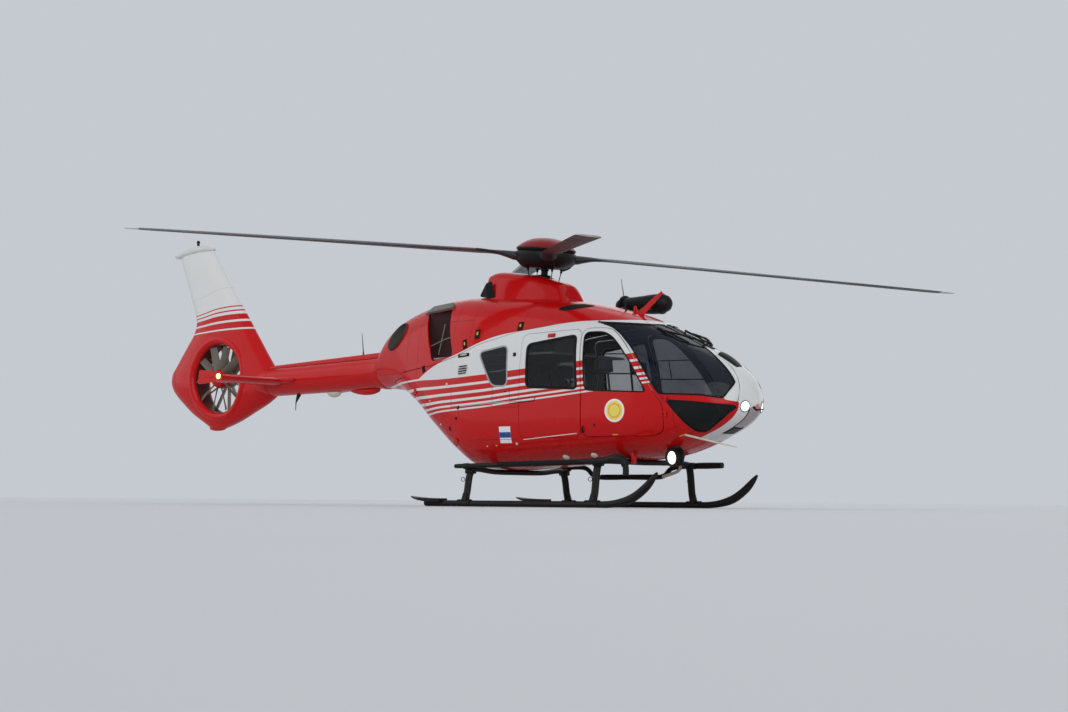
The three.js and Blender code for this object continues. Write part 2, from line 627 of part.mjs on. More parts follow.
// Cabin furniture
function seat(x, y, w) {
  const cushion = block(x - 230, x + 250, y - w / 2, y + w / 2, FLOOR_Z + 280, FLOOR_Z + 390);
  const base = block(x - 190, x + 200, y - w / 2 + 60, y + w / 2 - 60, FLOOR_Z + 0.4, FLOOR_Z + 290);
  const lean = [[x - 330, FLOOR_Z + 1080], [x - 250, FLOOR_Z + 1080], [x - 130, FLOOR_Z + 300],
    [x - 240, FLOOR_Z + 300]];
  const back = prismY(lean, y - w / 2, y + w / 2);
  return cushion.add(base).add(back);
}
Y_SIDES.forEach(({ name, s }) => {
  part(`pilot_seat_${name}`, seat(1480, s * 340, 460));
});
part('rear_bench', seat(300, 0, 1150));
const pedestal = block(2050, 2200, -110, 110, FLOOR_Z + 0.4, 1010);
const panel = prismY([[2060, 1330], [2300, 1330], [2360, 1180], [2280, 1000], [2120, 1000]], -330, 330);
part('instrument_panel', panel.add(pedestal).intersect(pod(WALL + 1)));

// Main rotor, built upright about its own axis and then tilted with the mast
function tilted(body) {
  return body.rotate([0, MAST_TILT * 180 / Math.PI, 0]).translate([HUB.x, 0, HUB.z]);
}
function lathe(points, sides = 40) {
  const g = new THREE.LatheGeometry(points.map((p) => new THREE.Vector2(p[0], p[1])), sides);
  g.rotateX(Math.PI / 2);
  return solid(g);
}
const head = lathe([[0, -545], [70, -545], [70, -260], [110, -240], [110, -175], [215, -165],
  [310, -60], [310, -30], [120, -30], [120, 30], [60, 35], [0, 35]]);
part('rotor_head', tilted(head));
const cap = lathe([[0, 35.4], [340, 35.4], [372, 60], [372, 90], [330, 150], [200, 205], [0, 222]]);
part('hub_cap', tilted(cap));
for (let i = 0; i < BLADE_COUNT; i += 1) {
  const ring = (r, chord, thick, z) => {
    const list = [];
    for (let j = 0; j < 16; j += 1) {
      const t = (j / 16) * Math.PI * 2;
      list.push([r, chord * (0.5 * Math.cos(t)), z + (thick / 2) * Math.sin(t)]);
    }
    return list;
  };
  const blade = skin([ring(121, 110, 50, 0), ring(450, 120, 50, 0), ring(760, BLADE_CHORD, BLADE_THICK, 0),
    ring(4900, BLADE_CHORD, BLADE_THICK, -60), ring(ROTOR_R, BLADE_CHORD * 0.55, 16, -66)]);
  part(`blade_${i + 1}`, tilted(blade.rotate([0, 0, 45 + 90 * i])));
}

// Roof hoist, searchlight and wire cutters
const hoist = rod([430, 900, 2530], [1270, 900, 2530], 118, 100, 28)
  .add(rod([700, 900, 2480], [700, 300, 2400], 30))
  .add(rod([1050, 900, 2480], [1050, 300, 2340], 30));
const lamp = rod([2130, -350, 560], [2330, -350, 560], 102, 102, 28);
const lampPost = block(2180, 2260, -370, -330, 600, 900);
const cutter = prismY([[1420, 2200], [1500, 2200], [1830, 2560], [1800, 2580]], -8, 8);
const bar = rod([2380, -440, 862], [3091, -300, 698], 11, 11, 12);
part('hoist', hoist.subtract(pod(-0.6)));
part('searchlight', lamp.add(lampPost).subtract(pod(-0.6)));
part('wire_cutter_upper', cutter.subtract(pod(-0.6)));
part('chin_bar', largest(bar.subtract(pod(-0.6))));

// Put the origin under the centre of the whole craft
const box = new THREE.Box3().setFromObject(group);
const shift = -(box.min.x + box.max.x) / 2;
group.children.forEach((m) => m.geometry.translate(shift, 0, 0));

export default group;
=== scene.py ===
# Light twin-engine rescue helicopter on skids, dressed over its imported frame.
import math
import bmesh
import bpy
from mathutils import Matrix, Vector


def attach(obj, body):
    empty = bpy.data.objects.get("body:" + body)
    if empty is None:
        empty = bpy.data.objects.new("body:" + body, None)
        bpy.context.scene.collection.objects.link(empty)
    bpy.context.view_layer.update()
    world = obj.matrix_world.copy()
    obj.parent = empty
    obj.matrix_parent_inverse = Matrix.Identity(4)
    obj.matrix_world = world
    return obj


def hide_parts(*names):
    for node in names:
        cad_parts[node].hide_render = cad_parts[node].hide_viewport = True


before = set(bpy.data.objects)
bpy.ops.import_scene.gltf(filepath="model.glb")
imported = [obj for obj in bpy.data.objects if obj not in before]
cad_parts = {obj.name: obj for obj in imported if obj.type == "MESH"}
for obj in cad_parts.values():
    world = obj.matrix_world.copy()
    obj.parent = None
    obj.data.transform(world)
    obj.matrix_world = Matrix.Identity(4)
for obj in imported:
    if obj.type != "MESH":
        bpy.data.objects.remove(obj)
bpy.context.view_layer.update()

# Stations are metres ahead of the rotor mast, heights are above the skid soles
MAST_X = 1.6708
HUB_Z = 3.12
TILT = math.radians(5)
SIDES = (("right", -1), ("left", 1))
SHELL_WALL = 0.028
DOOR_WALL = 0.018
FAN_AT = Vector((-5.93, -0.095, 1.77))
DUCT_R = 0.478
LIP_R = 0.590

# Duct lip: radius, lift off the shroud's side, share of the half thickness (port to starboard)
LIP_SIDE = (
    (0.600, -0.004), (0.592, 0.008), (0.578, 0.018), (0.560, 0.024), (0.540, 0.024), (0.520, 0.018),
    (0.502, 0.004), (0.490, -0.016), (0.482, -0.040), (DUCT_R, -0.070),
)
LIP = [(r, lift, 1) for r, lift in LIP_SIDE] + [(r, lift, -1) for r, lift in reversed(LIP_SIDE)]

# Pod sections: station, belly, roof, half width, widest height, upper and lower squareness
POD = (
    (3.182, 1.200, 1.216, 0.006, 1.208, 2.0, 2.0),
    (3.165, 1.160, 1.268, 0.055, 1.210, 2.0, 2.0),
    (3.140, 1.110, 1.350, 0.125, 1.210, 2.0, 2.0),
    (3.070, 1.030, 1.500, 0.265, 1.210, 2.0, 2.0),
    (2.900, 0.925, 1.660, 0.420, 1.200, 2.1, 2.1),
    (2.620, 0.810, 1.820, 0.550, 1.180, 2.2, 2.3),
    (2.300, 0.690, 1.970, 0.645, 1.160, 2.4, 2.5),
    (1.900, 0.600, 2.160, 0.715, 1.150, 2.6, 2.8),
    (1.400, 0.555, 2.340, 0.760, 1.150, 2.8, 3.0),
    (0.800, 0.530, 2.480, 0.780, 1.150, 3.0, 3.2),
    (0.200, 0.490, 2.570, 0.780, 1.150, 3.0, 3.2),
    (-0.400, 0.455, 2.610, 0.780, 1.180, 3.0, 3.2),
    (-0.700, 0.470, 2.630, 0.765, 1.220, 3.0, 3.0),
    (-1.000, 0.620, 2.640, 0.720, 1.300, 3.0, 2.8),
    (-1.400, 0.920, 2.620, 0.640, 1.450, 2.8, 2.6),
    (-1.850, 1.280, 2.540, 0.520, 1.650, 2.6, 2.4),
    (-2.290, 1.500, 2.400, 0.380, 1.800, 2.4, 2.2),
    (-2.550, 1.530, 2.240, 0.300, 1.820, 2.2, 2.1),
    (-2.670, 1.540, 2.100, 0.260, 1.810, 2.0, 2.0),
)

# Mast fairing sections: station, base, top, half width, squareness
FAIRING = (
    (0.452, 2.300, 2.520, 0.172, 2.8),
    (0.428, 2.300, 2.600, 0.205, 3.4),
    (0.372, 2.300, 2.728, 0.238, 4.0),
    (0.352, 2.300, 2.742, 0.246, 4.0),
    (0.200, 2.300, 2.796, 0.290, 4.0),
    (-0.010, 2.300, 2.860, 0.310, 4.0),
    (-0.350, 2.300, 2.918, 0.315, 4.0),
    (-0.650, 2.300, 2.950, 0.300, 3.6),
    (-0.930, 2.300, 2.880, 0.280, 3.0),
)

# Fin and shroud sections: height, leading edge, trailing edge, half thickness
FIN = (
    (1.040, -6.000, -6.120, 0.025),
    (1.080, -5.850, -6.190, 0.070),
    (1.160, -5.600, -6.335, 0.115),
    (1.280, -5.310, -6.560, 0.150),
    (1.420, -4.990, -6.760, 0.172),
    (1.540, -4.815, -6.915, 0.180),
    (1.640, -4.785, -7.010, 0.183),
    (1.760, -4.800, -7.055, 0.184),
    (1.860, -4.862, -7.035, 0.183),
    (1.960, -4.945, -6.955, 0.180),
    (2.120, -5.075, -6.825, 0.172),
    (2.270, -5.190, -6.700, 0.162),
    (2.400, -5.290, -6.595, 0.148),
    (2.570, -5.415, -6.530, 0.126),
    (2.990, -5.745, -6.672, 0.100),
    (3.520, -6.140, -6.900, 0.078),
    (3.690, -6.250, -6.975, 0.060),
)

# Fin cap sections: station, underside, top, half width
CAP = (
    (-6.200, 3.640, 3.656, 0.014),
    (-6.225, 3.622, 3.674, 0.044),
    (-6.310, 3.608, 3.702, 0.070),
    (-6.440, 3.598, 3.704, 0.084),
    (-6.573, 3.586, 3.700, 0.090),
    (-6.750, 3.566, 3.676, 0.086),
    (-6.900, 3.552, 3.636, 0.066),
    (-7.010, 3.562, 3.612, 0.040),
    (-7.050, 3.584, 3.606, 0.014),
)

# Side-view outlines, station and height
PILOT_DOOR = (
    (1.190, 0.835), (2.150, 0.835), (2.290, 0.900), (2.300, 1.180), (2.160, 1.345), (1.915, 1.695),
    (1.750, 1.885), (1.610, 2.020), (1.470, 2.115), (1.118, 2.120), (1.200, 1.380),
)
PILOT_WINDOW = (
    (1.236, 1.373), (2.100, 1.330), (1.851, 1.690), (1.678, 1.885), (1.540, 2.010), (1.400, 2.078),
    (1.150, 2.078),
)
SLIDING_DOOR = ((0.245, 0.830), (1.175, 0.830), (1.185, 1.380), (1.103, 2.112), (0.245, 2.080))
SLIDING_WINDOW = ((0.343, 1.430), (1.138, 1.388), (1.058, 2.052), (0.322, 1.962))
REAR_WINDOW = ((-0.205, 1.466), (0.052, 1.455), (0.022, 1.965), (-0.440, 1.892))
WINDSHIELD = (
    (2.240, 1.310), (2.733, 1.289), (2.960, 1.251), (3.025, 1.400), (3.025, 2.400), (1.960, 2.400),
    (1.885, 2.160), (1.240, 2.204), (1.482, 2.123), (1.621, 2.036), (1.769, 1.907), (1.877, 1.795),
)
CHIN = (
    (2.320, 1.248), (2.625, 1.226), (3.056, 1.178), (3.062, 1.150), (2.960, 1.000), (2.740, 0.872),
    (2.600, 0.878), (2.470, 1.062),
)
WINDOW_RAILS = (
    ("rail", ((1.205, 1.584), (1.965, 1.560), (1.965, 1.546), (1.205, 1.570))),
    ("upper_rail", ((1.175, 1.812), (1.790, 1.800), (1.790, 1.790), (1.175, 1.802))),
    ("bar", ((1.405, 1.578), (1.385, 1.806), (1.395, 1.806), (1.415, 1.578))),
)
COWL_LINE = (
    (1.000, 2.215), (0.170, 2.125), (-0.440, 1.990), (-0.850, 1.850), (-1.300, 1.760), (-2.000, 1.700),
    (-2.670, 1.700),
)
CLAM = ((-0.600, 0.600), (-1.900, 1.612), (-1.960, 1.640), (-2.330, 1.600), (-2.330, 0.300), (-0.600, 0.300))
BAY = ((-0.902, 1.872), (-1.120, 2.490), (-1.600, 2.455), (-1.315, 1.815))
ROOF_INTAKE = (
    (0.610, 2.380), (0.640, 2.415), (0.720, 2.440), (0.840, 2.450), (1.000, 2.425), (1.000, 2.408),
    (0.860, 2.378), (0.740, 2.358),
)
FAIRING_VENT = ((-0.735, 2.800), (-0.640, 2.822), (-0.556, 2.610), (-0.690, 2.595))
ENGINE_SIDE = 0.405
ENGINE_TOP = 2.335
EXHAUST_AT = (-2.190, 2.180)
EXHAUST_LONG = 0.205
EXHAUST_SHORT = 0.105
EXHAUST_LEAN = math.radians(43)
TAIL_X = -2.670
NOSE_X = 3.182
BELLY = -math.pi / 2

# Half widths of the posts between the windshields and between the chin windows
CENTRE_POST = (
    (1.00, 0.060), (2.36, 0.060), (2.53, 0.100), (2.67, 0.150), (2.80, 0.194), (3.018, 0.232),
    (3.30, 0.250),
)
CHIN_POST = (
    (2.00, 0.300), (2.70, 0.306), (2.85, 0.321), (2.97, 0.313), (3.02, 0.292), (3.062, 0.262),
    (3.10, 0.230), (3.30, 0.230),
)

# Camera with the photograph's direction and lens, lowered to the floor
CAMERA_AT = Vector((MAST_X + 16.735, -20.054, 0.080))
CAMERA_YAW = 2.27147621
CAMERA_PITCH = math.radians(3.92)
CAMERA_ROLL = 0.00757473
LENS = 71.03

# Broad soft suns: name, direction it comes from, strength, angle
LIGHTS = (
    ("key", (0.62, -0.72, 0.42), 1.00, 50),
    ("fill", (-0.75, -0.62, 0.34), 0.50, 60),
    ("back", (-0.30, 0.85, 0.50), 0.40, 60),
)

# Livery: foot and head of the pale band, and the thin lines below its foot (drop, half width)
BAND_FOOT = (
    (-2.46, 1.540), (-2.23, 1.560), (-1.89, 1.574), (-1.55, 1.588), (-1.13, 1.586), (-0.46, 1.612),
    (0.12, 1.655), (1.17, 1.735), (1.90, 1.810), (2.40, 1.860),
)
BAND_HEAD = (
    (-2.30, 1.20), (-1.62, 1.59), (-1.15, 1.795), (-0.77, 1.902), (-0.44, 2.015), (-0.14, 2.090),
    (0.17, 2.128), (0.47, 2.160), (0.76, 2.194), (1.03, 2.212), (1.27, 2.215), (2.40, 2.215),
)
BAND_LINES = ((0.100, 0.015), (0.195, 0.016), (0.276, 0.015), (0.337, 0.012), (0.388, 0.010))
BAND_SPREAD = ((-2.46, 1.18), (-1.50, 1.14), (-1.00, 1.04), (-0.40, 1.03), (0.50, 1.00), (2.40, 0.97))
NOSE_REACH = (
    (0.60, 0.300), (0.80, 0.268), (0.90, 0.249), (1.18, 0.244), (1.215, 0.250), (1.255, 0.372),
    (1.60, 0.372), (2.40, 0.372),
)

# Panel joints in the paint: place, and where each starts and ends
SEAMS_ACROSS = (
    (-1.88, 1.70, 2.56), (-1.635, 1.66, 2.46), (-0.925, 1.90, 2.52), (-0.62, 2.02, 2.60),
    (0.20, 2.20, 2.58), (-0.186, 1.20, 1.45), (0.092, 1.20, 1.45), (-0.90, 0.72, 1.48), (2.42, 0.86, 1.24),
)
SEAMS_ALONG = (
    (2.305, -1.03, -0.62), (2.300, -1.88, -1.40), (1.200, -0.186, 0.24), (1.235, -0.90, -0.186),
    (0.812, -0.60, 0.24), (1.268, 0.10, 0.49),
)
FIN_FOOT = ((-6.60, 2.418), (-6.35, 2.430), (-5.83, 2.458), (-5.30, 2.473), (-4.90, 2.480))
FIN_LINES = ((0.000, 0.012), (0.120, 0.016), (0.240, 0.022), (0.305, 0.022))

RED = (0.52, 0.003, 0.004, 1)
WHITE = (0.66, 0.66, 0.65, 1)


# Shader maths
class Signal:
    """One output of a finish's nodes; sums on it add Math nodes."""

    def __init__(self, finish, socket):
        self.finish = finish
        self.socket = socket

    def op(self, operation, first, second=None, clamp=False):
        inputs = [first] if second is None else [first, second]
        return self.finish.node("ShaderNodeMath", {"operation": operation, "use_clamp": clamp}, inputs)

    def __add__(self, other):
        return self.op("ADD", self, other)

    def __sub__(self, other):
        return self.op("SUBTRACT", self, other)

    def __rsub__(self, other):
        return self.op("SUBTRACT", other, self)

    def __mul__(self, other):
        return self.op("MULTIPLY", self, other)

    def __truediv__(self, other):
        return self.op("DIVIDE", self, other)

    def __abs__(self):
        return self.op("ABSOLUTE", self)

    def __pow__(self, other):
        return self.op("POWER", self, other)

    __radd__ = __add__
    __rmul__ = __mul__

    def wave(self):
        return self.op("SINE", self)

    def most(self, other):
        return self.op("MAXIMUM", self, other)

    def above(self, soft=0.002):
        """1 where the value is over 0, with a soft edge."""
        return (self * (1.0 / soft) + 0.5).clamped()

    def clamped(self):
        return self.op("ADD", self, 0.0, clamp=True)

    def near(self, middle, half, soft=0.002):
        """1 within half of the middle value."""
        return (half - abs(self - middle)).above(soft)


class Finish:
    """One material with a Principled shader, built up by node()."""

    def __init__(self, name, colour, rough, **fixed):
        self.material = bpy.data.materials.new(name)
        self.material.use_nodes = True
        self.tree = self.material.node_tree
        self.shader = self.tree.nodes["Principled BSDF"]
        self.shader.inputs["Base Color"].default_value = colour
        self.shader.inputs["Roughness"].default_value = rough
        for socket, value in fixed.items():
            self.shader.inputs[socket.replace("_", " ")].default_value = value
        self.heights = []

    def node(self, kind, settings=None, inputs=(), output=0):
        made = self.tree.nodes.new(kind)
        for key, value in (settings or {}).items():
            if key == "stops":
                ramp = made.color_ramp
                while len(ramp.elements) < len(value):
                    ramp.elements.new(0.5)
                for element, (place, colour) in zip(ramp.elements, value):
                    element.position = place
                    element.color = colour
            elif key == "points":
                line = made.mapping.curves[0]
                while len(line.points) < len(value):
                    line.points.new(0.5, 0.5)
                for point, place in zip(line.points, value):
                    point.location = place
                made.mapping.update()
            else:
                setattr(made, key, value)
        pairs = inputs.items() if isinstance(inputs, dict) else enumerate(inputs)
        for key, value in pairs:
            if isinstance(value, Signal):
                self.tree.links.new(value.socket, made.inputs[key])
            else:
                made.inputs[key].default_value = value
        return Signal(self, made.outputs[output])

    def send(self, socket, signal):
        self.tree.links.new(signal.socket, self.shader.inputs[socket])

    def coordinates(self, kind="Object"):
        return self.node("ShaderNodeTexCoord", output=kind)

    def place(self):
        """Station, side and height of the shaded point, in metres."""
        split = self.node("ShaderNodeSeparateXYZ", inputs=[self.coordinates()])
        x, y, z = [Signal(self, out) for out in split.socket.node.outputs]
        return x - MAST_X, y, z

    def noise(self, scale, detail=3.0, rough=0.5, where=None):
        where = where or self.coordinates()
        return self.node("ShaderNodeTexNoise", inputs={"Vector": where, "Scale": scale, "Detail": detail,
                                                       "Roughness": rough})

    def curve(self, value, points):
        """Value read off a smooth line through the points."""
        xs = [p[0] for p in points]
        ys = [p[1] for p in points]
        low, high, bottom, top = min(xs), max(xs), min(ys), max(ys)
        places = [((px - low) / (high - low), (py - bottom) / (top - bottom)) for px, py in points]
        unit = (value - low) * (1.0 / (high - low))
        read = self.node("ShaderNodeFloatCurve", {"points": places}, {"Value": unit})
        return read * (top - bottom) + bottom

    def mix(self, factor, first, second, mode="MIX"):
        settings = {"data_type": "RGBA", "blend_type": mode}
        return self.node("ShaderNodeMix", settings, {0: factor, 6: first, 7: second}, output=2)

    def raise_by(self, height, depth):
        """Adds a relief, height from 0 to 1 and depth in metres."""
        self.heights.append(height * depth)

    def done(self):
        if self.heights:
            total = self.heights[0]
            for extra in self.heights[1:]:
                total = total + extra
            bump = self.node("ShaderNodeBump", inputs={"Height": total, "Distance": 1.0, "Strength": 1.0})
            self.send("Normal", bump)
        return self.material


def varied(finish, base, deep, scale=3.0, spread=0.35, rough=(0.3, 0.45)):
    """Colour and gloss that wander a little over the surface."""
    cloud = finish.noise(scale, 4.0)
    finish.send("Base Color", finish.mix(cloud * spread, base, deep))
    speck = finish.noise(scale * 9.0, 3.0)
    low, high = rough
    finish.send("Roughness", (cloud * 0.6 + speck * 0.4) * (high - low) * 2.0 + (low * 1.5 - high * 0.5))
    return cloud


# Finishes
def paint_base(finish, colour, low_darkening=0.25):
    """Clear-coated paint: faint fading, darker, browner and rougher towards the bottom, and the ripple of
    sprayed panels.
    """
    x, y, z = finish.place()
    fade = finish.noise(1.7, 4.0)
    tone = finish.mix(fade * 0.30, colour, (0.40, 0.010, 0.010, 1))
    # Darker, browner and rougher below 1.25 m, growing towards the bottom and broken up by noise
    film = ((1.25 - z) * 0.9).clamped() * finish.noise(5.5, 6.0, 0.65) * low_darkening
    tone = finish.mix(film, tone, (0.20, 0.05, 0.04, 1))
    gloss = finish.noise(11.0, 4.0) * 0.14 + 0.16 + film * 0.5
    finish.send("Roughness", gloss)
    finish.raise_by(finish.noise(2.3, 2.0), 0.0012)
    return tone


def livery_paint():
    """Red pod with a pale band, five thin lines below it and a pale nose."""
    finish = Finish("red_pod_paint", RED, 0.3, Coat_Weight=0.22, Coat_Roughness=0.05, Specular_IOR_Level=0.1)
    x, y, z = finish.place()
    foot = finish.curve(x, BAND_FOOT)
    rise = z - foot
    head = finish.curve(x, BAND_HEAD) - z
    pale = rise.above() * head.above()
    flank = (abs(y) - 0.10).above(0.01)
    pale = pale.most(rise.near(0.006, 0.011) * flank)
    spaced = rise / finish.curve(x, BAND_SPREAD)
    for drop, half in BAND_LINES:
        pale = pale.most(spaced.near(-drop, half) * flank)
    start = finish.curve(z, ((0.40, 2.54), (1.00, 2.50), (1.22, 1.93), (2.40, 1.93)))
    reach = finish.curve(z, NOSE_REACH)
    pale = pale.most((reach - abs(y)).above() * (x - start).above())
    red = paint_base(finish, RED)
    white = finish.mix(finish.noise(4.0, 4.0) * 0.3, WHITE, (0.62, 0.62, 0.60, 1))
    colour = finish.mix(pale, red, white)
    gap = ((x - 1.671) * (x - 1.671) + (z - 1.130) * (z - 1.130)) ** 0.5
    disc = (0.135 - gap).above() * (abs(y) - 0.5).above()
    colour = finish.mix(disc, colour, (0.80, 0.80, 0.78, 1))
    centre = (0.112 - gap).above() * (abs(y) - 0.5).above()
    colour = finish.mix(centre, colour, (0.80, 0.66, 0.12, 1))
    dot = (0.085 - gap).above() * (gap - 0.072).above() * (abs(y) - 0.5).above()
    colour = finish.mix(dot, colour, (0.72, 0.30, 0.06, 1))
    sticker = x.near(0.015, 0.090) * z.near(0.870, 0.100) * (0.0 - y).above()
    colour = finish.mix(sticker, colour, (0.74, 0.75, 0.76, 1))
    bar = x.near(0.015, 0.090) * z.near(0.868, 0.034) * (0.0 - y).above()
    colour = finish.mix(bar, colour, (0.020, 0.075, 0.260, 1))
    seam = None
    for lines in (SEAMS_ACROSS, SEAMS_ALONG):
        for place, low, high in lines:
            here, there = (x, z) if lines is SEAMS_ACROSS else (z, x)
            groove = here.near(place, 0.003, 0.003) * there.near((low + high) / 2, (high - low) / 2, 0.01)
            seam = groove if seam is None else seam.most(groove)
    finish.raise_by(seam, -0.0016)
    finish.send("Base Color", finish.mix(seam * 0.75, colour, (0.030, 0.006, 0.006, 1)))
    return finish.done()


def tail_paint():
    """Red shroud under a pale fin, parted by four thin lines."""
    finish = Finish("red_tail_paint", RED, 0.3, Coat_Weight=0.22, Coat_Roughness=0.05, Specular_IOR_Level=0.1)
    x, y, z = finish.place()
    rise = z - finish.curve(x, FIN_FOOT)
    taper = finish.curve(x, ((-6.60, 0.76), (-6.35, 0.80), (-5.90, 0.95), (-5.40, 1.0), (-4.90, 1.0)))
    rise = rise / taper
    pale = (rise - 0.345).above()
    for lift, half in FIN_LINES:
        pale = pale.most(rise.near(lift, half))
    red = paint_base(finish, RED, 0.15)
    white = finish.mix(finish.noise(3.0, 4.0) * 0.35, WHITE, (0.60, 0.60, 0.57, 1))
    cap_joint = rise.near(0.640, 0.0025, 0.002)
    hinge_line = (x + 0.62 * z).near(-4.86, 0.0025, 0.002)
    joint = cap_joint.most((rise - 0.345).above() * hinge_line)
    finish.raise_by(joint, -0.001)
    finish.send("Base Color", finish.mix(joint * 0.45, finish.mix(pale, red, white), (0.20, 0.19, 0.18, 1)))
    return finish.done()


def plain_red(name="red_paint"):
    finish = Finish(name, RED, 0.3, Coat_Weight=0.22, Coat_Roughness=0.05, Specular_IOR_Level=0.1)
    finish.send("Base Color", paint_base(finish, RED, 0.15))
    return finish.done()


def plain_finish(name, base, deep, rough, scale=6.0, relief=0.0003, grain=90.0, **fixed):
    """Colour and gloss that wander, with a fine grain."""
    finish = Finish(name, base, rough[0], **fixed)
    varied(finish, base, deep, scale, 0.6, rough)
    finish.raise_by(finish.noise(grain, 3.0), relief)
    return finish.done()


def glass_finish(name, tint, alpha, rough=0.04):
    """Tinted acrylic that lets the cabin show through."""
    finish = Finish(name, tint, rough, Specular_IOR_Level=0.22)
    film = finish.noise(3.2, 5.0)
    finish.send("Base Color", finish.mix(film * 0.2, tint, (0.030, 0.032, 0.038, 1)))
    finish.send("Alpha", film * 0.10 + alpha)
    finish.send("Roughness", film * 0.05 + rough * 0.5)
    return finish.done()


def cloth_finish(name, base, deep):
    """Woven seat cloth."""
    finish = Finish(name, base, 0.9, Sheen_Weight=0.25)
    x, y, z = finish.place()
    weave = (x * 1500.0).wave() * (y * 1500.0).wave() + (z * 1500.0).wave()
    cloud = finish.noise(9.0, 5.0)
    finish.send("Base Color", finish.mix((weave * 0.2 + cloud).clamped(), base, deep))
    finish.raise_by(weave, 0.0003)
    return finish.done()


def lamp_finish(name, colour, glow):
    finish = Finish(name, colour, 0.08, Coat_Weight=0.8)
    ripple = finish.noise(160.0, 2.0)
    finish.send("Base Color", finish.mix(ripple * 0.3, colour, (0.9, 0.9, 0.9, 1)))
    finish.raise_by(ripple, 0.0006)
    finish.shader.inputs["Emission Color"].default_value = colour
    finish.shader.inputs["Emission Strength"].default_value = glow
    return finish.done()


HUB_RED = plain_finish("hub_cap_red", (0.230, 0.005, 0.009, 1), (0.150, 0.006, 0.009, 1), (0.2, 0.4), 3.0,
                       Specular_IOR_Level=0.2)
POD_PAINT = livery_paint()
TAIL_PAINT = tail_paint()
RED_PAINT = plain_red()
BLACK = plain_finish("black_enamel", (0.006, 0.006, 0.006, 1), (0.014, 0.013, 0.012, 1), (0.34, 0.56), 7.0,
                     Specular_IOR_Level=0.18)
RUBBER = plain_finish("black_rubber", (0.005, 0.005, 0.005, 1), (0.014, 0.014, 0.014, 1), (0.6, 0.85), 14.0,
                      Specular_IOR_Level=0.15)
BLADE_SKIN = plain_finish("blade_skin", (0.022, 0.023, 0.025, 1), (0.045, 0.045, 0.046, 1), (0.35, 0.55), 3.0,
                          Specular_IOR_Level=0.25)
STEEL = plain_finish("hub_steel", (0.30, 0.30, 0.31, 1), (0.16, 0.15, 0.15, 1), (0.25, 0.45), 12.0,
                     Metallic=0.9)
CREAM = plain_finish("cream_enamel", (0.60, 0.57, 0.47, 1), (0.46, 0.43, 0.35, 1), (0.4, 0.6), 5.0)
VANE = plain_finish("vane_primer", (0.28, 0.205, 0.130, 1), (0.17, 0.125, 0.080, 1), (0.45, 0.65), 5.0)
# Near-black red for the duct's throat: painted shade for the shadow inside the duct
DUCT_SHADE_PAINT = plain_finish("duct_painted_shade", (0.085, 0.008, 0.007, 1), (0.030, 0.014, 0.009, 1), (0.5, 0.7), 4.0,
                          Specular_IOR_Level=0.15)
FAN_BLADE = plain_finish("fan_blade_grey", (0.135, 0.110, 0.085, 1), (0.070, 0.060, 0.048, 1),
                         (0.4, 0.6), 8.0)
GREY = plain_finish("grey_primer", (0.34, 0.34, 0.33, 1), (0.22, 0.22, 0.21, 1), (0.45, 0.65), 5.0)
HOOD_PAINT = plain_finish("hood_grey", (0.17, 0.15, 0.14, 1), (0.09, 0.08, 0.075, 1), (0.4, 0.6), 5.0)
# Red paint darkened nearly to black: painted shade for the recessed engine bays
BAY_SHADE_PAINT = plain_finish("bay_painted_shade", (0.040, 0.008, 0.008, 1), (0.010, 0.008, 0.008, 1), (0.6, 0.85), 2.5,
                         Specular_IOR_Level=0.2)
CAP_PAINT = plain_finish("fin_cap_paint", (0.62, 0.62, 0.60, 1), (0.46, 0.46, 0.44, 1), (0.3, 0.5), 4.0)
BLADE_TIP = plain_finish("blade_tip", (0.62, 0.60, 0.52, 1), (0.48, 0.46, 0.40, 1), (0.4, 0.55), 4.0)
YELLOW = plain_finish("yellow_mark", (0.62, 0.40, 0.03, 1), (0.45, 0.28, 0.03, 1), (0.35, 0.5), 9.0)
PALE_TAPE = plain_finish("pale_tape", (0.80, 0.80, 0.78, 1), (0.60, 0.60, 0.58, 1), (0.3, 0.5), 20.0)
SOOT = plain_finish("exhaust_soot", (0.030, 0.026, 0.024, 1), (0.10, 0.075, 0.06, 1),
                    (0.55, 0.85), 9.0, Metallic=0.4)
LINING = plain_finish("cabin_lining", (0.30, 0.30, 0.31, 1), (0.21, 0.21, 0.22, 1), (0.7, 0.9), 8.0, 0.0006)
SEAT_CLOTH = cloth_finish("seat_cloth", (0.045, 0.050, 0.075, 1), (0.020, 0.022, 0.032, 1))
DARK_GLASS = glass_finish("windshield_glass", (0.003, 0.006, 0.016, 1), 0.60)
SIDE_GLASS = glass_finish("side_glass", (0.008, 0.009, 0.012, 1), 0.30)
DOOR_GLASS = glass_finish("pilot_door_glass", (0.012, 0.014, 0.016, 1), 0.10)
CHIN_GLASS = glass_finish("chin_glass", (0.004, 0.008, 0.006, 1), 0.66)
REAR_GLASS = glass_finish("rear_glass", (0.010, 0.013, 0.016, 1), 0.55)
LAMP_GLASS = glass_finish("lamp_window", (0.42, 0.36, 0.36, 1), 0.90)
BLACK_PLASTIC = plain_finish("panel_plastic", (0.020, 0.020, 0.022, 1), (0.035, 0.035, 0.036, 1),
                             (0.55, 0.75), 20.0)
SCREEN = plain_finish("screen_glass", (0.010, 0.016, 0.030, 1), (0.004, 0.006, 0.012, 1), (0.08, 0.16), 2.0)
FLOOR_MAT = plain_finish("floor_mat", (0.055, 0.055, 0.060, 1), (0.030, 0.030, 0.034, 1),
                         (0.75, 0.95), 24.0, 0.0010)
ENGINE_METAL = plain_finish("engine_metal", (0.28, 0.26, 0.23, 1), (0.13, 0.11, 0.09, 1), (0.35, 0.6),
                            7.0, 0.0008, Metallic=0.8)
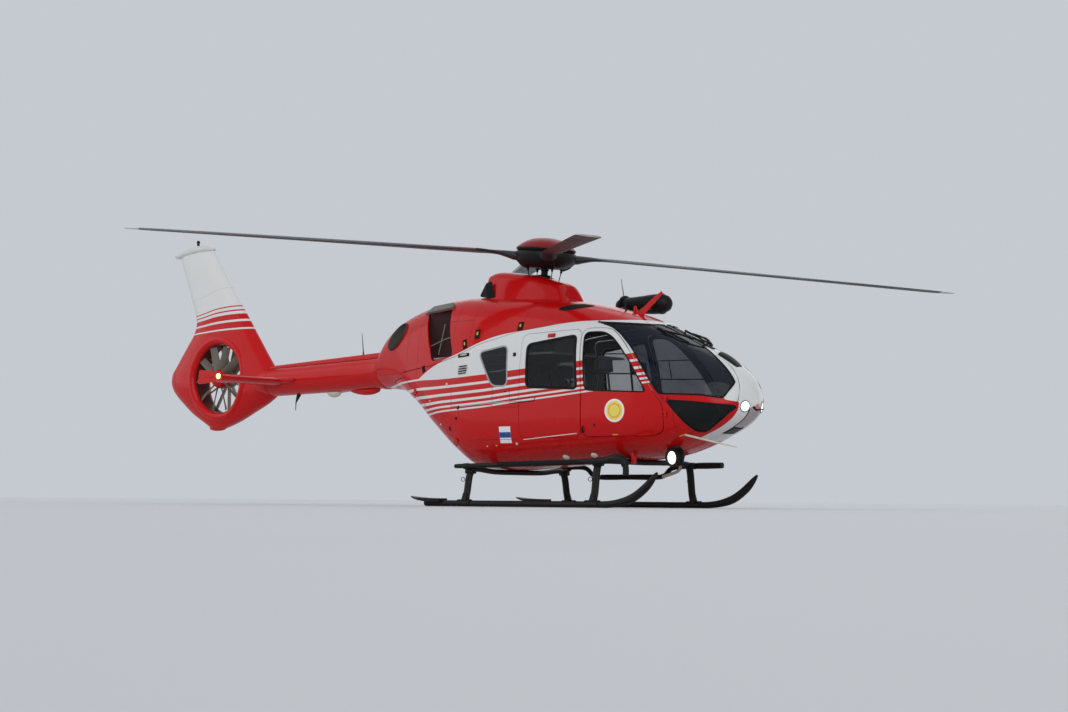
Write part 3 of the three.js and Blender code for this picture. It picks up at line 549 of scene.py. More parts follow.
DECK_PAINT = plain_finish("deck_paint", (0.26, 0.27, 0.27, 1), (0.14, 0.14, 0.13, 1), (0.5, 0.75), 5.0)
WHITE_LAMP = lamp_finish("white_lamp", (0.95, 0.95, 0.90, 1), 1.6)
GREEN_LAMP = lamp_finish("green_lamp", (0.25, 1.0, 0.15, 1), 6.0)
RED_LAMP = lamp_finish("red_lamp", (0.45, 0.008, 0.008, 1), 0.15)


# Curves and shapes
def slopes(xs, ys):
    """Slopes that keep a cubic from overshooting its points."""
    gaps = [b - a for a, b in zip(xs, xs[1:])]
    rises = [(d - c) / g for c, d, g in zip(ys, ys[1:], gaps)]
    inner = []
    for left, right, a, b in zip(rises, rises[1:], gaps, gaps[1:]):
        if left * right <= 0:
            inner.append(0.0)
        else:
            inner.append(3 * (a + b) / ((2 * b + a) / left + (b + 2 * a) / right))
    return [rises[0]] + inner + [rises[-1]]


class Table:
    """Smooth lines through the rows of a table, read at any value of its first column."""

    def __init__(self, rows):
        self.rows = sorted(rows)
        self.keys = [row[0] for row in self.rows]
        columns = list(zip(*self.rows))[1:]
        self.columns = columns
        self.slopes = [slopes(self.keys, column) for column in columns]
        self.known = {}

    def at(self, key):
        key = round(min(max(key, self.keys[0]), self.keys[-1]), 6)
        if key not in self.known:
            self.known[key] = self.read(key)
        return self.known[key]

    def read(self, key):
        i = max(0, min(len(self.keys) - 2, sum(1 for k in self.keys if k <= key) - 1))
        gap = self.keys[i + 1] - self.keys[i]
        t = (key - self.keys[i]) / gap
        a, b = (1 + 2 * t) * (1 - t) ** 2, t * (1 - t) ** 2
        c, d = t * t * (3 - 2 * t), t * t * (t - 1)
        return [a * col[i] + b * gap * s[i] + c * col[i + 1] + d * gap * s[i + 1]
                for col, s in zip(self.columns, self.slopes)]


POD_LINES = Table(POD)
WINDSHIELD_POST = Table(CENTRE_POST)
CHIN_MIDDLE = Table(CHIN_POST)
CAP_LINES = Table(CAP)
FAIRING_LINES = Table(FAIRING)
FIN_SHAPE = Table(FIN)


def power(value, squareness):
    return math.copysign(abs(value) ** (2.0 / squareness), value)


def pod_point(x, turn):
    """Point on the pod's skin at a station and a turn round it, 0 at port, a quarter turn at the roof."""
    belly, roof, half, middle, upper, lower = POD_LINES.at(x)
    c, s = math.cos(turn), math.sin(turn)
    n = upper if s >= 0 else lower
    reach = roof - middle if s >= 0 else middle - belly
    return Vector((MAST_X + x, half * power(c, n), middle + reach * power(s, n)))


def pod_normal(x, turn):
    along = pod_point(x + 0.004, turn) - pod_point(x - 0.004, turn)
    around = pod_point(x, turn + 0.004) - pod_point(x, turn - 0.004)
    return around.cross(along).normalized()


def side_turn(x, z, side, keep=0.0):
    """Turn at which the skin reaches a height, kept at least keep off the centre line."""
    belly, roof, half, middle, upper, lower = POD_LINES.at(x)
    n = upper if z >= middle else lower
    reach = roof - middle if z >= middle else middle - belly
    turn = math.asin(min(1.0, abs(z - middle) / reach) ** (n / 2.0))
    limit = math.acos(min(1.0, keep / half) ** (n / 2.0)) if keep else math.pi / 2
    turn = min(turn, limit)
    if z < middle:
        turn = -turn
    return turn if side > 0 else math.pi - turn


def on_skin(x, z, side, lift=0.0):
    """Point on the side of the pod, lifted off its skin."""
    turn = side_turn(x, z, side)
    return pod_point(x, turn) + pod_normal(x, turn) * lift


def area(points):
    return sum(a[0] * b[1] - b[0] * a[1] for a, b in zip(points, points[1:] + points[:1])) / 2


def rounded(points, radius, steps=6):
    """Outline with its corners rounded, turned counter-clockwise."""
    points = list(points)
    if area(points) < 0:
        points.reverse()
    out = []
    for i, corner in enumerate(points):
        here = Vector(corner)
        before = Vector(points[i - 1])
        after = Vector(points[(i + 1) % len(points)])
        start = here + (before - here).normalized() * min(radius, (before - here).length * 0.45)
        end = here + (after - here).normalized() * min(radius, (after - here).length * 0.45)
        for j in range(steps + 1):
            t = j / steps
            out.append(start * (1 - t) ** 2 + here * 2 * t * (1 - t) + end * t * t)
    return [(p.x, p.y) for p in out]


def grown(points, reach):
    """Counter-clockwise outline moved outward."""
    out = []
    for i, corner in enumerate(points):
        here = Vector(corner)
        first = (here - Vector(points[i - 1]))
        second = (Vector(points[(i + 1) % len(points)]) - here)
        a = Vector((first.y, -first.x)).normalized()
        b = Vector((second.y, -second.x)).normalized()
        middle = (a + b).normalized()
        out.append(here + middle * (reach / max(0.35, middle.dot(a))))
    return [(p.x, p.y) for p in out]


def stepped(points, step=0.03, closed=True):
    """Outline with extra points, so that it bends with the skin."""
    out = []
    ends = list(points[1:]) + ([points[0]] if closed else [])
    for a, b in zip(points, ends):
        count = max(1, math.ceil(math.dist(a, b) / step))
        for j in range(count):
            t = j / count
            out.append((a[0] + (b[0] - a[0]) * t, a[1] + (b[1] - a[1]) * t))
    if not closed:
        out.append(tuple(points[-1]))
    return out


def flattened(points, side, post=None, clear=0.0, closed=True):
    """Side-view outline as stations and turns on the pod, kept off the post on the centre line."""
    out = []
    for x, z in stepped(points, closed=closed):
        keep = post.at(x)[0] + clear if post else 0.0
        spot = (x, side_turn(x, z, side, keep))
        if not out or math.dist(spot, out[-1]) > 0.002:
            out.append(spot)
    if closed and math.dist(out[0], out[-1]) <= 0.002:
        out.pop()
    return out


def quadrant(k, count):
    u = k / count
    return (math.pi / 2) * u ** 1.5 / (u ** 1.5 + (1 - u) ** 1.5)


STATIONS = [low + gap * i for low, gap, count in ((-2.65, 0.05, 104), (2.53, 0.03, 16), (2.995, 0.015, 13))
            for i in range(count)]
TURNS = [math.pi / 2 * q + quadrant(k, 16) for q in range(-1, 3) for k in range(16)]


def cut_flat(loops, lines=(STATIONS, TURNS)):
    """Flat pattern inside the first loop and outside the rest, cut into small faces."""
    bm = bmesh.new()
    for loop in loops:
        corners = [bm.verts.new((a, b, 0)) for a, b in loop]
        for a, b in zip(corners, corners[1:] + corners[:1]):
            bm.edges.new((a, b))
    bmesh.ops.triangle_fill(bm, use_beauty=True, normal=(0, 0, 1), edges=bm.edges[:])
    for axis, places in enumerate(lines):
        low = min(p[axis] for p in loops[0])
        high = max(p[axis] for p in loops[0])
        normal = (1, 0, 0) if axis == 0 else (0, 1, 0)
        for place in places:
            if low + 1e-4 < place < high - 1e-4:
                geometry = bm.verts[:] + bm.edges[:] + bm.faces[:]
                at = (place, 0, 0) if axis == 0 else (0, place, 0)
                bmesh.ops.bisect_plane(bm, geom=geometry, dist=1e-5, plane_co=at, plane_no=normal)
    return bm


def give_wall(bm, wall):
    """Wall of even thickness inward from the skin."""
    made = bmesh.ops.extrude_face_region(bm, geom=bm.faces[:])["geom"]
    bm.normal_update()
    for item in made:
        if isinstance(item, bmesh.types.BMVert):
            item.co -= item.normal * wall
        elif isinstance(item, bmesh.types.BMFace):
            item.material_index = 1
    bmesh.ops.recalc_face_normals(bm, faces=bm.faces[:])


def wrap(bm, lift=0.0):
    """Flat pattern laid on the pod's skin."""
    for v in bm.verts:
        x, turn = v.co.x, v.co.y
        v.co = pod_point(x, turn) + (pod_normal(x, turn) * lift if lift else Vector())
    bmesh.ops.remove_doubles(bm, verts=bm.verts[:], dist=0.0003)
    return bm


def wrapped(loops, wall, lift=0.0):
    """Pattern laid on the pod's skin and given a wall."""
    bm = wrap(cut_flat(loops), lift)
    point_out(bm, POD_HEART)
    give_wall(bm, wall)
    return bm


def point_out(bm, centre):
    """Turns an open sheet so that it faces away from a centre."""
    bmesh.ops.recalc_face_normals(bm, faces=bm.faces[:])
    score = sum(f.normal.dot(f.calc_center_median() - centre) * f.calc_area() for f in bm.faces)
    if score < 0:
        bmesh.ops.reverse_faces(bm, faces=bm.faces[:])


def piece(name, bm, material, body="airframe", replaces=(), smooth=35):
    """Finished piece, riding on its body."""
    mesh = bpy.data.meshes.new(name)
    bm.to_mesh(mesh)
    bm.free()
    several = isinstance(material, (list, tuple))
    for one in material if several else [material]:
        mesh.materials.append(one)
    if not several:
        mesh.polygons.foreach_set("material_index", [0] * len(mesh.polygons))
    mesh.shade_smooth()
    mesh.set_sharp_from_angle(angle=math.radians(smooth))
    obj = bpy.data.objects.new(name, mesh)
    bpy.context.scene.collection.objects.link(obj)
    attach(obj, body)
    if replaces:
        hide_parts(*replaces)
    return obj


def at(x, y, z):
    return Vector((MAST_X + x, y, z))


def facing(direction, place):
    """Matrix that carries +Z to a direction at a place."""
    turn = Vector(direction).to_track_quat("Z", "Y").to_matrix().to_4x4()
    return Matrix.Translation(place) @ turn


def ring_on(bm, radius, sides, matrix, cap=False):
    return bmesh.ops.create_circle(bm, cap_ends=cap, radius=radius, segments=sides, matrix=matrix)["verts"]


def edges_of(verts):
    chosen = set(verts)
    return [e for e in {e for v in verts for e in v.link_edges} if set(e.verts) <= chosen]


def sweep(bm, path, radius, sides=16):
    """Round bar along a path, closed at both ends; radius may be one number or one for each point."""
    path = [Vector(p) for p in path]
    radii = radius if isinstance(radius, (list, tuple)) else [radius] * len(path)
    frames = []
    across = None
    for i, spot in enumerate(path):
        ahead = (path[min(i + 1, len(path) - 1)] - path[max(i - 1, 0)]).normalized()
        if across is None:
            across = ahead.orthogonal().normalized()
        across = (across - ahead * across.dot(ahead)).normalized()
        up = ahead.cross(across)
        matrix = Matrix((across, up, ahead)).transposed().to_4x4()
        matrix.translation = spot
        frames.append(matrix)
    before = None
    for i, (matrix, r) in enumerate(zip(frames, radii)):
        verts = ring_on(bm, r, sides, matrix, cap=i in (0, len(path) - 1))
        edges = edges_of(verts)
        if before:
            bmesh.ops.bridge_loops(bm, edges=before + edges)
        before = edges
    bmesh.ops.recalc_face_normals(bm, faces=bm.faces[:])
    return bm


def smooth_path(points, steps=6):
    """Path through the points with rounded bends."""
    pts = [Vector(p) for p in points]
    out = []
    for i in range(len(pts) - 1):
        a = pts[max(i - 1, 0)]
        b, c = pts[i], pts[i + 1]
        d = pts[min(i + 2, len(pts) - 1)]
        for j in range(steps):
            t = j / steps
            out.append(0.5 * ((2 * b) + (c - a) * t + (2 * a - 5 * b + 4 * c - d) * t * t
                              + (3 * b - a - 3 * c + d) * t ** 3))
    out.append(pts[-1])
    return out


def turned(bm, profile, sides=48, matrix=Matrix()):
    """Profile of (radius, height) spun round the Z axis of a matrix."""
    verts = [bm.verts.new((r, 0, h)) for r, h in profile]
    edges = [bm.edges.new(pair) for pair in zip(verts, verts[1:])]
    made = bmesh.ops.spin(bm, geom=verts + edges, axis=(0, 0, 1), cent=(0, 0, 0), steps=sides, angle=math.tau,
                          use_merge=True)
    fresh = {v for v in made["geom_last"] if isinstance(v, bmesh.types.BMVert)} | set(verts)
    reach = set(fresh)
    edge_front = list(fresh)
    while edge_front:
        v = edge_front.pop()
        for e in v.link_edges:
            o = e.other_vert(v)
            if o not in reach:
                reach.add(o)
                edge_front.append(o)
    chosen = list(reach)
    bmesh.ops.remove_doubles(bm, verts=chosen, dist=1e-5)
    chosen = [v for v in chosen if v.is_valid]
    bmesh.ops.transform(bm, matrix=matrix, verts=chosen)
    bmesh.ops.recalc_face_normals(bm, faces=list({f for v in chosen for f in v.link_faces}))
    return chosen


def mapped_grid(bm, across, along, place):
    """Grid whose two runs from 0 to 1 are placed by a function."""
    made = bmesh.ops.create_grid(bm, x_segments=across, y_segments=along, size=0.5)["verts"]
    for v in made:
        v.co = place(v.co.x + 0.5, v.co.y + 0.5)
    return made


def tidy(bm, dist=1e-5):
    bmesh.ops.remove_doubles(bm, verts=bm.verts[:], dist=dist)
    bmesh.ops.recalc_face_normals(bm, faces=bm.faces[:])
    return bm


def walled_grid(across, along, place, heart, wall):
    """Mapped grid welded, faced away from its heart and given a wall."""
    bm = bmesh.new()
    mapped_grid(bm, across, along, place)
    tidy(bm, 1e-4)
    point_out(bm, heart)
    give_wall(bm, wall)
    return bm


def closed_grid(across, along, place, dist=1e-5):
    """Mapped grid with closed ends, welded."""
    bm = bmesh.new()
    mapped_grid(bm, across, along, place)
    close_ends(bm)
    return tidy(bm, dist)


def close_ends(bm):
    bmesh.ops.holes_fill(bm, edges=[e for e in bm.edges if e.is_boundary], sides=0)


def seal(bm):
    """Welds the seams, closes the open ends and turns the faces outward."""
    bmesh.ops.remove_doubles(bm, verts=bm.verts[:], dist=1e-5)
    close_ends(bm)
    bmesh.ops.recalc_face_normals(bm, faces=bm.faces[:])


def bridged(bm, rings):
    """Skin through rings of points; gives the edges of each ring."""
    rows = []
    for points in rings:
        verts = [bm.verts.new(p) for p in points]
        edges = [bm.edges.new(pair) for pair in zip(verts, verts[1:] + verts[:1])]
        if rows:
            bmesh.ops.bridge_loops(bm, edges=rows[-1] + edges)
        rows.append(edges)
    return rows


def cut_away(bm, place, normal):
    """Cuts everything on the far side of a plane away."""
    bmesh.ops.bisect_plane(bm, geom=bm.verts[:] + bm.edges[:] + bm.faces[:], dist=1e-5, plane_co=place,
                           plane_no=normal, clear_outer=True)


def hoop(bm, inner, outer, half, sides, matrix):
    """Flat-sided ring about the Z axis of a matrix."""
    turned(bm, [(inner, -half), (outer, -half), (outer, half), (inner, half), (inner, -half)], sides, matrix)


def block(bm, centre, size, bevel=0.004):
    """Box with eased edges."""
    made = bmesh.ops.create_cube(bm, size=1.0)["verts"]
    bmesh.ops.scale(bm, vec=size, verts=made)
    if bevel:
        eased = bmesh.ops.bevel(bm, geom=edges_of(made), affect="EDGES", offset=bevel, segments=2,
                                profile=0.5, material=-1, clamp_overlap=True)
        made = list({v for f in eased["faces"] for v in f.verts} | {v for v in made if v.is_valid})
    bmesh.ops.translate(bm, vec=Vector(centre), verts=made)
    return made


def slab(bm, outline, y0, y1):
    """Side-view outline pushed from y0 to y1."""
    face = bm.faces.new([bm.verts.new(at(x, y0, z)) for x, z in outline])
    made = bmesh.ops.extrude_face_region(bm, geom=[face])["geom"]
    bmesh.ops.translate(bm, vec=(0, y1 - y0, 0), verts=[v for v in made if isinstance(v, bmesh.types.BMVert)])
    bmesh.ops.recalc_face_normals(bm, faces=bm.faces[:])


# Pod, doors and glass
PILOT_DOOR_LINE = rounded(PILOT_DOOR, 0.110)
PILOT_WINDOW_LINE = rounded(PILOT_WINDOW, 0.080)
SLIDING_DOOR_LINE = rounded(SLIDING_DOOR, 0.090)
SLIDING_WINDOW_LINE = rounded(SLIDING_WINDOW, 0.080)
REAR_WINDOW_LINE = rounded(REAR_WINDOW, 0.090)
WINDSHIELD_LINE = rounded(WINDSHIELD, 0.040)
CHIN_LINE = rounded(CHIN, 0.022)
CLAM_EDGE = rounded(CLAM, 0.110)
POD_HEART = Vector((MAST_X + 0.2, 0, 1.4))


def exhaust_spot(turn, grow=1.0):
    """Point of the leaning oval exhaust outlet in side view."""
    along = EXHAUST_LONG * grow * math.cos(turn)
    across = EXHAUST_SHORT * grow * math.sin(turn)
    c, s = math.cos(EXHAUST_LEAN), math.sin(EXHAUST_LEAN)
    return EXHAUST_AT[0] + along * c - across * s, EXHAUST_AT[1] + along * s + across * c


def run(start, end, count):
    """Points from start up to end, end left out."""
    return [(start[0] + (end[0] - start[0]) * k / count, start[1] + (end[1] - start[1]) * k / count)
            for k in range(count)]


def from_gap(points):
    """Points of a cut ring, begun after its widest gap."""
    first = max(range(len(points)), key=lambda i: math.dist(points[i - 1], points[i]))
    return points[first:] + points[:first]


def line_turns(line):
    return [(x, side_turn(x, z, 1)) for x, z in stepped(line, closed=False)]


def frame_loops():
    """Pod skin round its doors, windows, cowling and rear doors."""
    cowl = line_turns(COWL_LINE)
    clam = from_gap([p for p in reversed(flattened(grown(CLAM_EDGE, 0.007), 1)) if p[1] > BELLY + 0.01])
    port = cowl[:-1] + run(cowl[-1], (TAIL_X, BELLY), 12) + run((TAIL_X, BELLY), (-2.337, BELLY), 6)
    port += [(-2.337, BELLY)] + clam + run((-0.593, BELLY), (NOSE_X, BELLY), 70)
    nose = run((NOSE_X, BELLY), (NOSE_X, math.pi - BELLY), 24)
    starboard = [(x, math.pi - turn) for x, turn in reversed(port)]
    outer = port + nose + [(NOSE_X, math.pi - BELLY)] + starboard + run(starboard[-1], cowl[0], 24)[1:]
    holes = []
    for _, side in SIDES:
        holes.append(flattened(grown(PILOT_DOOR_LINE, 0.008), side))
        holes.append(flattened(grown(SLIDING_DOOR_LINE, 0.006), side))
        holes.append(flattened(REAR_WINDOW_LINE, side))
        holes.append(flattened(WINDSHIELD_LINE, side, WINDSHIELD_POST))
        holes.append(flattened(CHIN_LINE, side, CHIN_MIDDLE))
    return [outer] + holes


def close_nose(bm):
    rim = [e for e in bm.edges if e.is_boundary and min(v.co.x for v in e.verts) > MAST_X + NOSE_X - 0.001]
    bmesh.ops.holes_fill(bm, edges=rim, sides=0)


def cowling_loops():
    """Skin over the engines, with its bay and exhaust openings."""
    cowl = [(x, turn + 0.006) for x, turn in line_turns(COWL_LINE)]
    starboard = [(x, math.pi - turn) for x, turn in reversed(cowl)]
    outer = cowl[:-1] + run(cowl[-1], starboard[0], 24) + starboard + run(starboard[-1], cowl[0], 24)[1:]
    holes = []
    for _, side in SIDES:
        holes.append(flattened(rounded(BAY, 0.050), side))
        holes.append(flattened([exhaust_spot(k * math.tau / 40, 1.05) for k in range(40)], side))
    return [outer] + holes


def make_pod():
    shell = cut_flat(frame_loops())
    shell = wrap(shell)
    close_nose(shell)
    point_out(shell, POD_HEART)
    give_wall(shell, SHELL_WALL)
    piece("pod_shell", shell, [POD_PAINT, LINING], replaces=["cabin_frame"])
    cowling = wrapped(cowling_loops(), 0.022)
    piece("cowling_skin", cowling, [POD_PAINT, SOOT], replaces=["engine_cowling"])
    for name, side in SIDES:
        door = [flattened(PILOT_DOOR_LINE, side), flattened(PILOT_WINDOW_LINE, side)]
        piece(f"pilot_door_panel_{name}", wrapped(door, DOOR_WALL), [POD_PAINT, LINING], f"pilot_door_{name}",
              [f"pilot_door_{name}"])
        slide = [flattened(SLIDING_DOOR_LINE, side), flattened(SLIDING_WINDOW_LINE, side)]
        piece(f"sliding_door_panel_{name}", wrapped(slide, DOOR_WALL), [POD_PAINT, LINING], "airframe",
              [f"sliding_door_{name}"])
        clam = from_gap([p for p in flattened(CLAM_EDGE, side) if abs(math.sin(p[1]) + 1) > 1e-4])
        foot = BELLY if side > 0 else math.pi - BELLY
        lean = 0.008 if side > 0 else -0.008
        loop = [(-0.600, foot + lean)] + clam + run((-2.330, foot + lean), (-0.600, foot + lean), 40)[:-1]
        piece(f"clamshell_panel_{name}", wrapped([loop], DOOR_WALL), [POD_PAINT, LINING], f"clamshell_{name}",
              [f"clamshell_{name}"])


# Windows: pane, edge and solid names, outline, glass, post, and the rubber's reach beyond and inside it
WINDOWS = (
    ("windshield", "windshield", "windshield", WINDSHIELD_LINE, DARK_GLASS, WINDSHIELD_POST, 0.002, 0.016),
    ("chin", "chin", "chin_window", CHIN_LINE, CHIN_GLASS, CHIN_MIDDLE, 0.002, 0.014),
    ("rear", "rear_window", "rear_window", REAR_WINDOW_LINE, REAR_GLASS, None, 0.008, 0.012),
    ("sliding", "sliding_window", "sliding_window", SLIDING_WINDOW_LINE, SIDE_GLASS, None, 0.004, 0.030),
    ("pilot", "pilot_window", "pilot_window", PILOT_WINDOW_LINE, DOOR_GLASS, None, 0.002, 0.014),
)


def make_glass():
    """Glass set 3 mm into each opening, with a rubber strip round it and rails on the pilot's."""
    for name, side in SIDES:
        door = f"pilot_door_{name}"
        for pane, edge, node, line, glass, post, out, inward in WINDOWS:
            body = door if pane == "pilot" else "airframe"
            loop = flattened(grown(line, -0.001), side, post, 0.001)
            sheet = wrapped([loop], 0.006, -0.003)
            piece(f"{pane}_pane_{name}", sheet, glass, body, [f"{node}_{name}"])
            strip = [flattened(grown(line, reach), side, post, -reach) for reach in (out, -inward)]
            rubber = GREY if pane == "rear" else RUBBER
            piece(f"{edge}_edge_{name}", wrapped(strip, 0.006, 0.0015), rubber, body)
        for rail, line in WINDOW_RAILS:
            strip = wrapped([flattened(line, side)], 0.010, -0.004)
            piece(f"pilot_window_{rail}_{name}", strip, RUBBER, door)


make_pod()
make_glass()


# Roof, engines and tail
def make_fairing():
    """Mast fairing, open at its raked rear end."""
    bm = bmesh.new()

    def place(u, v):
        x = 0.452 - 1.382 * v
        base, roof, half, n = FAIRING_LINES.at(x)
        turn = math.pi * u
        up = power(math.sin(turn), n)
        flare = 0.94 + 0.34 * (1 - up) ** 2.2
        rake = 0.22 * (1 - up) * max(0.0, 1 - 6 * v) ** 2
        return at(x + rake, half * flare * power(math.cos(turn), n), base + (roof - base) * up)

    mapped_grid(bm, 64, 60, place)
    bmesh.ops.remove_doubles(bm, verts=bm.verts[:], dist=1e-4)
    cut_away(bm, at(-0.79, 0, 2.93), (-0.954, 0, -0.301))
    nose = [e for e in bm.edges if e.is_boundary and min(v.co.x for v in e.verts) > MAST_X + 0.44]
    low = [v for v in {v for e in nose for v in e.verts} if v.co.z < 2.301]
    bmesh.ops.contextual_create(bm, geom=low)
    nose = [e for e in bm.edges if e.is_boundary and min(v.co.x for v in e.verts) > MAST_X + 0.44]
    bmesh.ops.holes_fill(bm, edges=nose, sides=0)
    point_out(bm, at(-0.2, 0, 2.5))
    give_wall(bm, 0.018)
    # Its inner wall takes the black soot finish: painted shade inside the open rear end
    piece("mast_fairing_skin", bm, [RED_PAINT, SOOT], replaces=["mast_fairing"])
    bm = bmesh.new()
    opening = [(0.0, 0.002), (0.110, 0.002), (0.118, 0.003), (0.122, 0.000), (0.118, -0.008), (0.0, -0.008)]
    front, rear = FAIRING_LINES.at(0.105)[1], FAIRING_LINES.at(-0.145)[1]
    slope = (front - rear) / 0.250
    turned(bm, opening, 56, facing((-slope, 0, 1), at(-0.02, 0, (front + rear) / 2 + 0.001)))
    piece("mast_opening", bm, SOOT)
    # Black patches where the fairing's side openings are: painted shade for their dark inside
    for name, side in SIDES:
        lines = ([-1 + 0.03 * k for k in range(60)], [2.5 + 0.02 * k for k in range(20)])
        bm = cut_flat([rounded(FAIRING_VENT, 0.022)], lines)
        for v in bm.verts:
            base, roof, half, n = FAIRING_LINES.at(v.co.x)
            share = abs(v.co.y - (base + roof) / 2) / ((roof - base) / 2)
            v.co = at(v.co.x, side * (half * (1 - min(1.0, share) ** n) ** (1 / n) + 0.003), v.co.y)
        point_out(bm, at(-0.3, 0, 2.6))
        give_wall(bm, 0.006)
        piece(f"fairing_vent_shade_{name}", bm, [RUBBER, RUBBER])
    bm = bmesh.new()
    collar = [(0.062, -0.030), (0.082, -0.028), (0.082, -0.004), (0.074, 0.002), (0.062, 0.003),
              (0.062, -0.030)]
    turned(bm, collar, 40, facing((0.087, 0, 1), at(-0.022, 0, 2.878)))
    piece("mast_collar", bm, RUBBER)
    bm = bmesh.new()
    duct = [(-0.640, 2.800), (-0.760, 2.820), (-0.880, 2.640), (-0.640, 2.600)]
    for y in (-0.160, 0.160):
        slab(bm, rounded(duct, 0.040), y - 0.085, y + 0.085)
    sweep(bm, smooth_path([at(-0.66, -0.235, 2.590), at(-0.70, -0.238, 2.640), at(-0.64, -0.240, 2.665),
                           at(-0.58, -0.245, 2.640), at(-0.56, -0.250, 2.580)], 5), 0.009, 10)
    piece("fairing_duct", bm, BLACK)
    for name, side in SIDES:
        mouth = [flattened(rounded(ROOF_INTAKE, 0.030), side)]
        piece(f"roof_intake_{name}", wrapped(mouth, 0.005, 0.004), RUBBER)


# Exhaust rings: lift off the skin, size, depth inward
EXHAUST_RINGS = (
    (0.002, 1.10, 0.0), (0.022, 1.06, 0.0), (0.030, 1.0, 0.0), (0.022, 0.95, 0.0), (0.0, 0.92, 0.03),
    (0.0, 0.86, 0.16), (0.0, 0.80, 0.34),
)


def make_exhausts():
    """Oval outlets trimmed to the slope of the skin, and the pipes behind them."""
    for name, side in SIDES:
        bm = bmesh.new()
        lips = []
        inward = Vector((0.96, -0.26 * side, -0.02))
        for lift, grow, depth in EXHAUST_RINGS:
            spots = [exhaust_spot(k * math.tau / 40, grow) for k in range(40)]
            lips.append([on_skin(x, z, side, lift) + inward * depth for x, z in spots])
        bridged(bm, lips)
        bmesh.ops.recalc_face_normals(bm, faces=bm.faces[:])
        give_wall(bm, 0.003)
        piece(f"exhaust_pipe_{name}", bm, [SOOT, SOOT], replaces=[f"exhaust_{name}"])


def make_bays():
    """Recessed engine bay behind each side opening, with its splitter bar and rain hood."""
    for name, side in SIDES:
        bm = bmesh.new()
        line = rounded(BAY, 0.050)
        loops = []
        for depth, shrink in ((0.0, -0.001), (0.03, -0.003), (0.07, -0.008), (0.115, -0.020)):
            skins = [on_skin(x, z, side) for x, z in grown(line, shrink)]
            rooms = [min(depth, max(0.012, abs(skin.y) - ENGINE_SIDE)) for skin in skins]
            loops.append([skin - Vector((0, side * room, 0)) for skin, room in zip(skins, rooms)])
        back = bmesh.ops.holes_fill(bm, edges=bridged(bm, loops)[-1], sides=0)["faces"]
        back = bmesh.ops.triangulate(bm, faces=back)["faces"]
        geometry = back + list({e for f in back for e in f.edges}) + list({v for f in back for v in f.verts})
        bend = bmesh.ops.bisect_plane(bm, geom=geometry, dist=1e-5, plane_co=at(0, 0, ENGINE_TOP),
                                      plane_no=(0, 0, 1))
        for v in bend["geom_cut"]:
            if isinstance(v, bmesh.types.BMVert):
                v.co.y = side * max(abs(v.co.y), ENGINE_SIDE)
        bmesh.ops.recalc_face_normals(bm, faces=bm.faces[:])
        give_wall(bm, 0.003)
        # The liner's near-black red is painted shade inside the recess
        piece(f"bay_liner_{name}", bm, [BAY_SHADE_PAINT, BAY_SHADE_PAINT])
        bm = bmesh.new()
        spots = [(-0.985, 2.115), (-1.10, 2.100), (-1.25, 2.060), (-1.40, 2.020)]
        sweep(bm, [on_skin(x, z, side, -0.030) for x, z in spots], 0.007, 10)
        sweep(bm, [on_skin(-1.235, 1.900, side, -0.040), on_skin(-1.190, 2.300, side, -0.030)], 0.007, 10)
        piece(f"bay_struts_{name}", bm, HOOD_PAINT)
        hood = rounded(((-1.100, 2.480), (-1.150, 2.545), (-1.560, 2.520), (-1.640, 2.420), (-1.600, 2.440),
                        (-1.120, 2.478)), 0.020)
        bm = wrapped([flattened(hood, side)], 0.030, 0.034)
        piece(f"bay_hood_{name}", bm, HOOD_PAINT)


BOOM = (
    (-2.640, 1.775, 0.252, 0.238), (-2.700, 1.770, 0.235, 0.225), (-2.900, 1.752, 0.212, 0.212),
    (-3.400, 1.735, 0.207, 0.208), (-4.200, 1.712, 0.201, 0.202), (-4.950, 1.690, 0.197, 0.197),
)
BOOM_LINES = Table(BOOM)


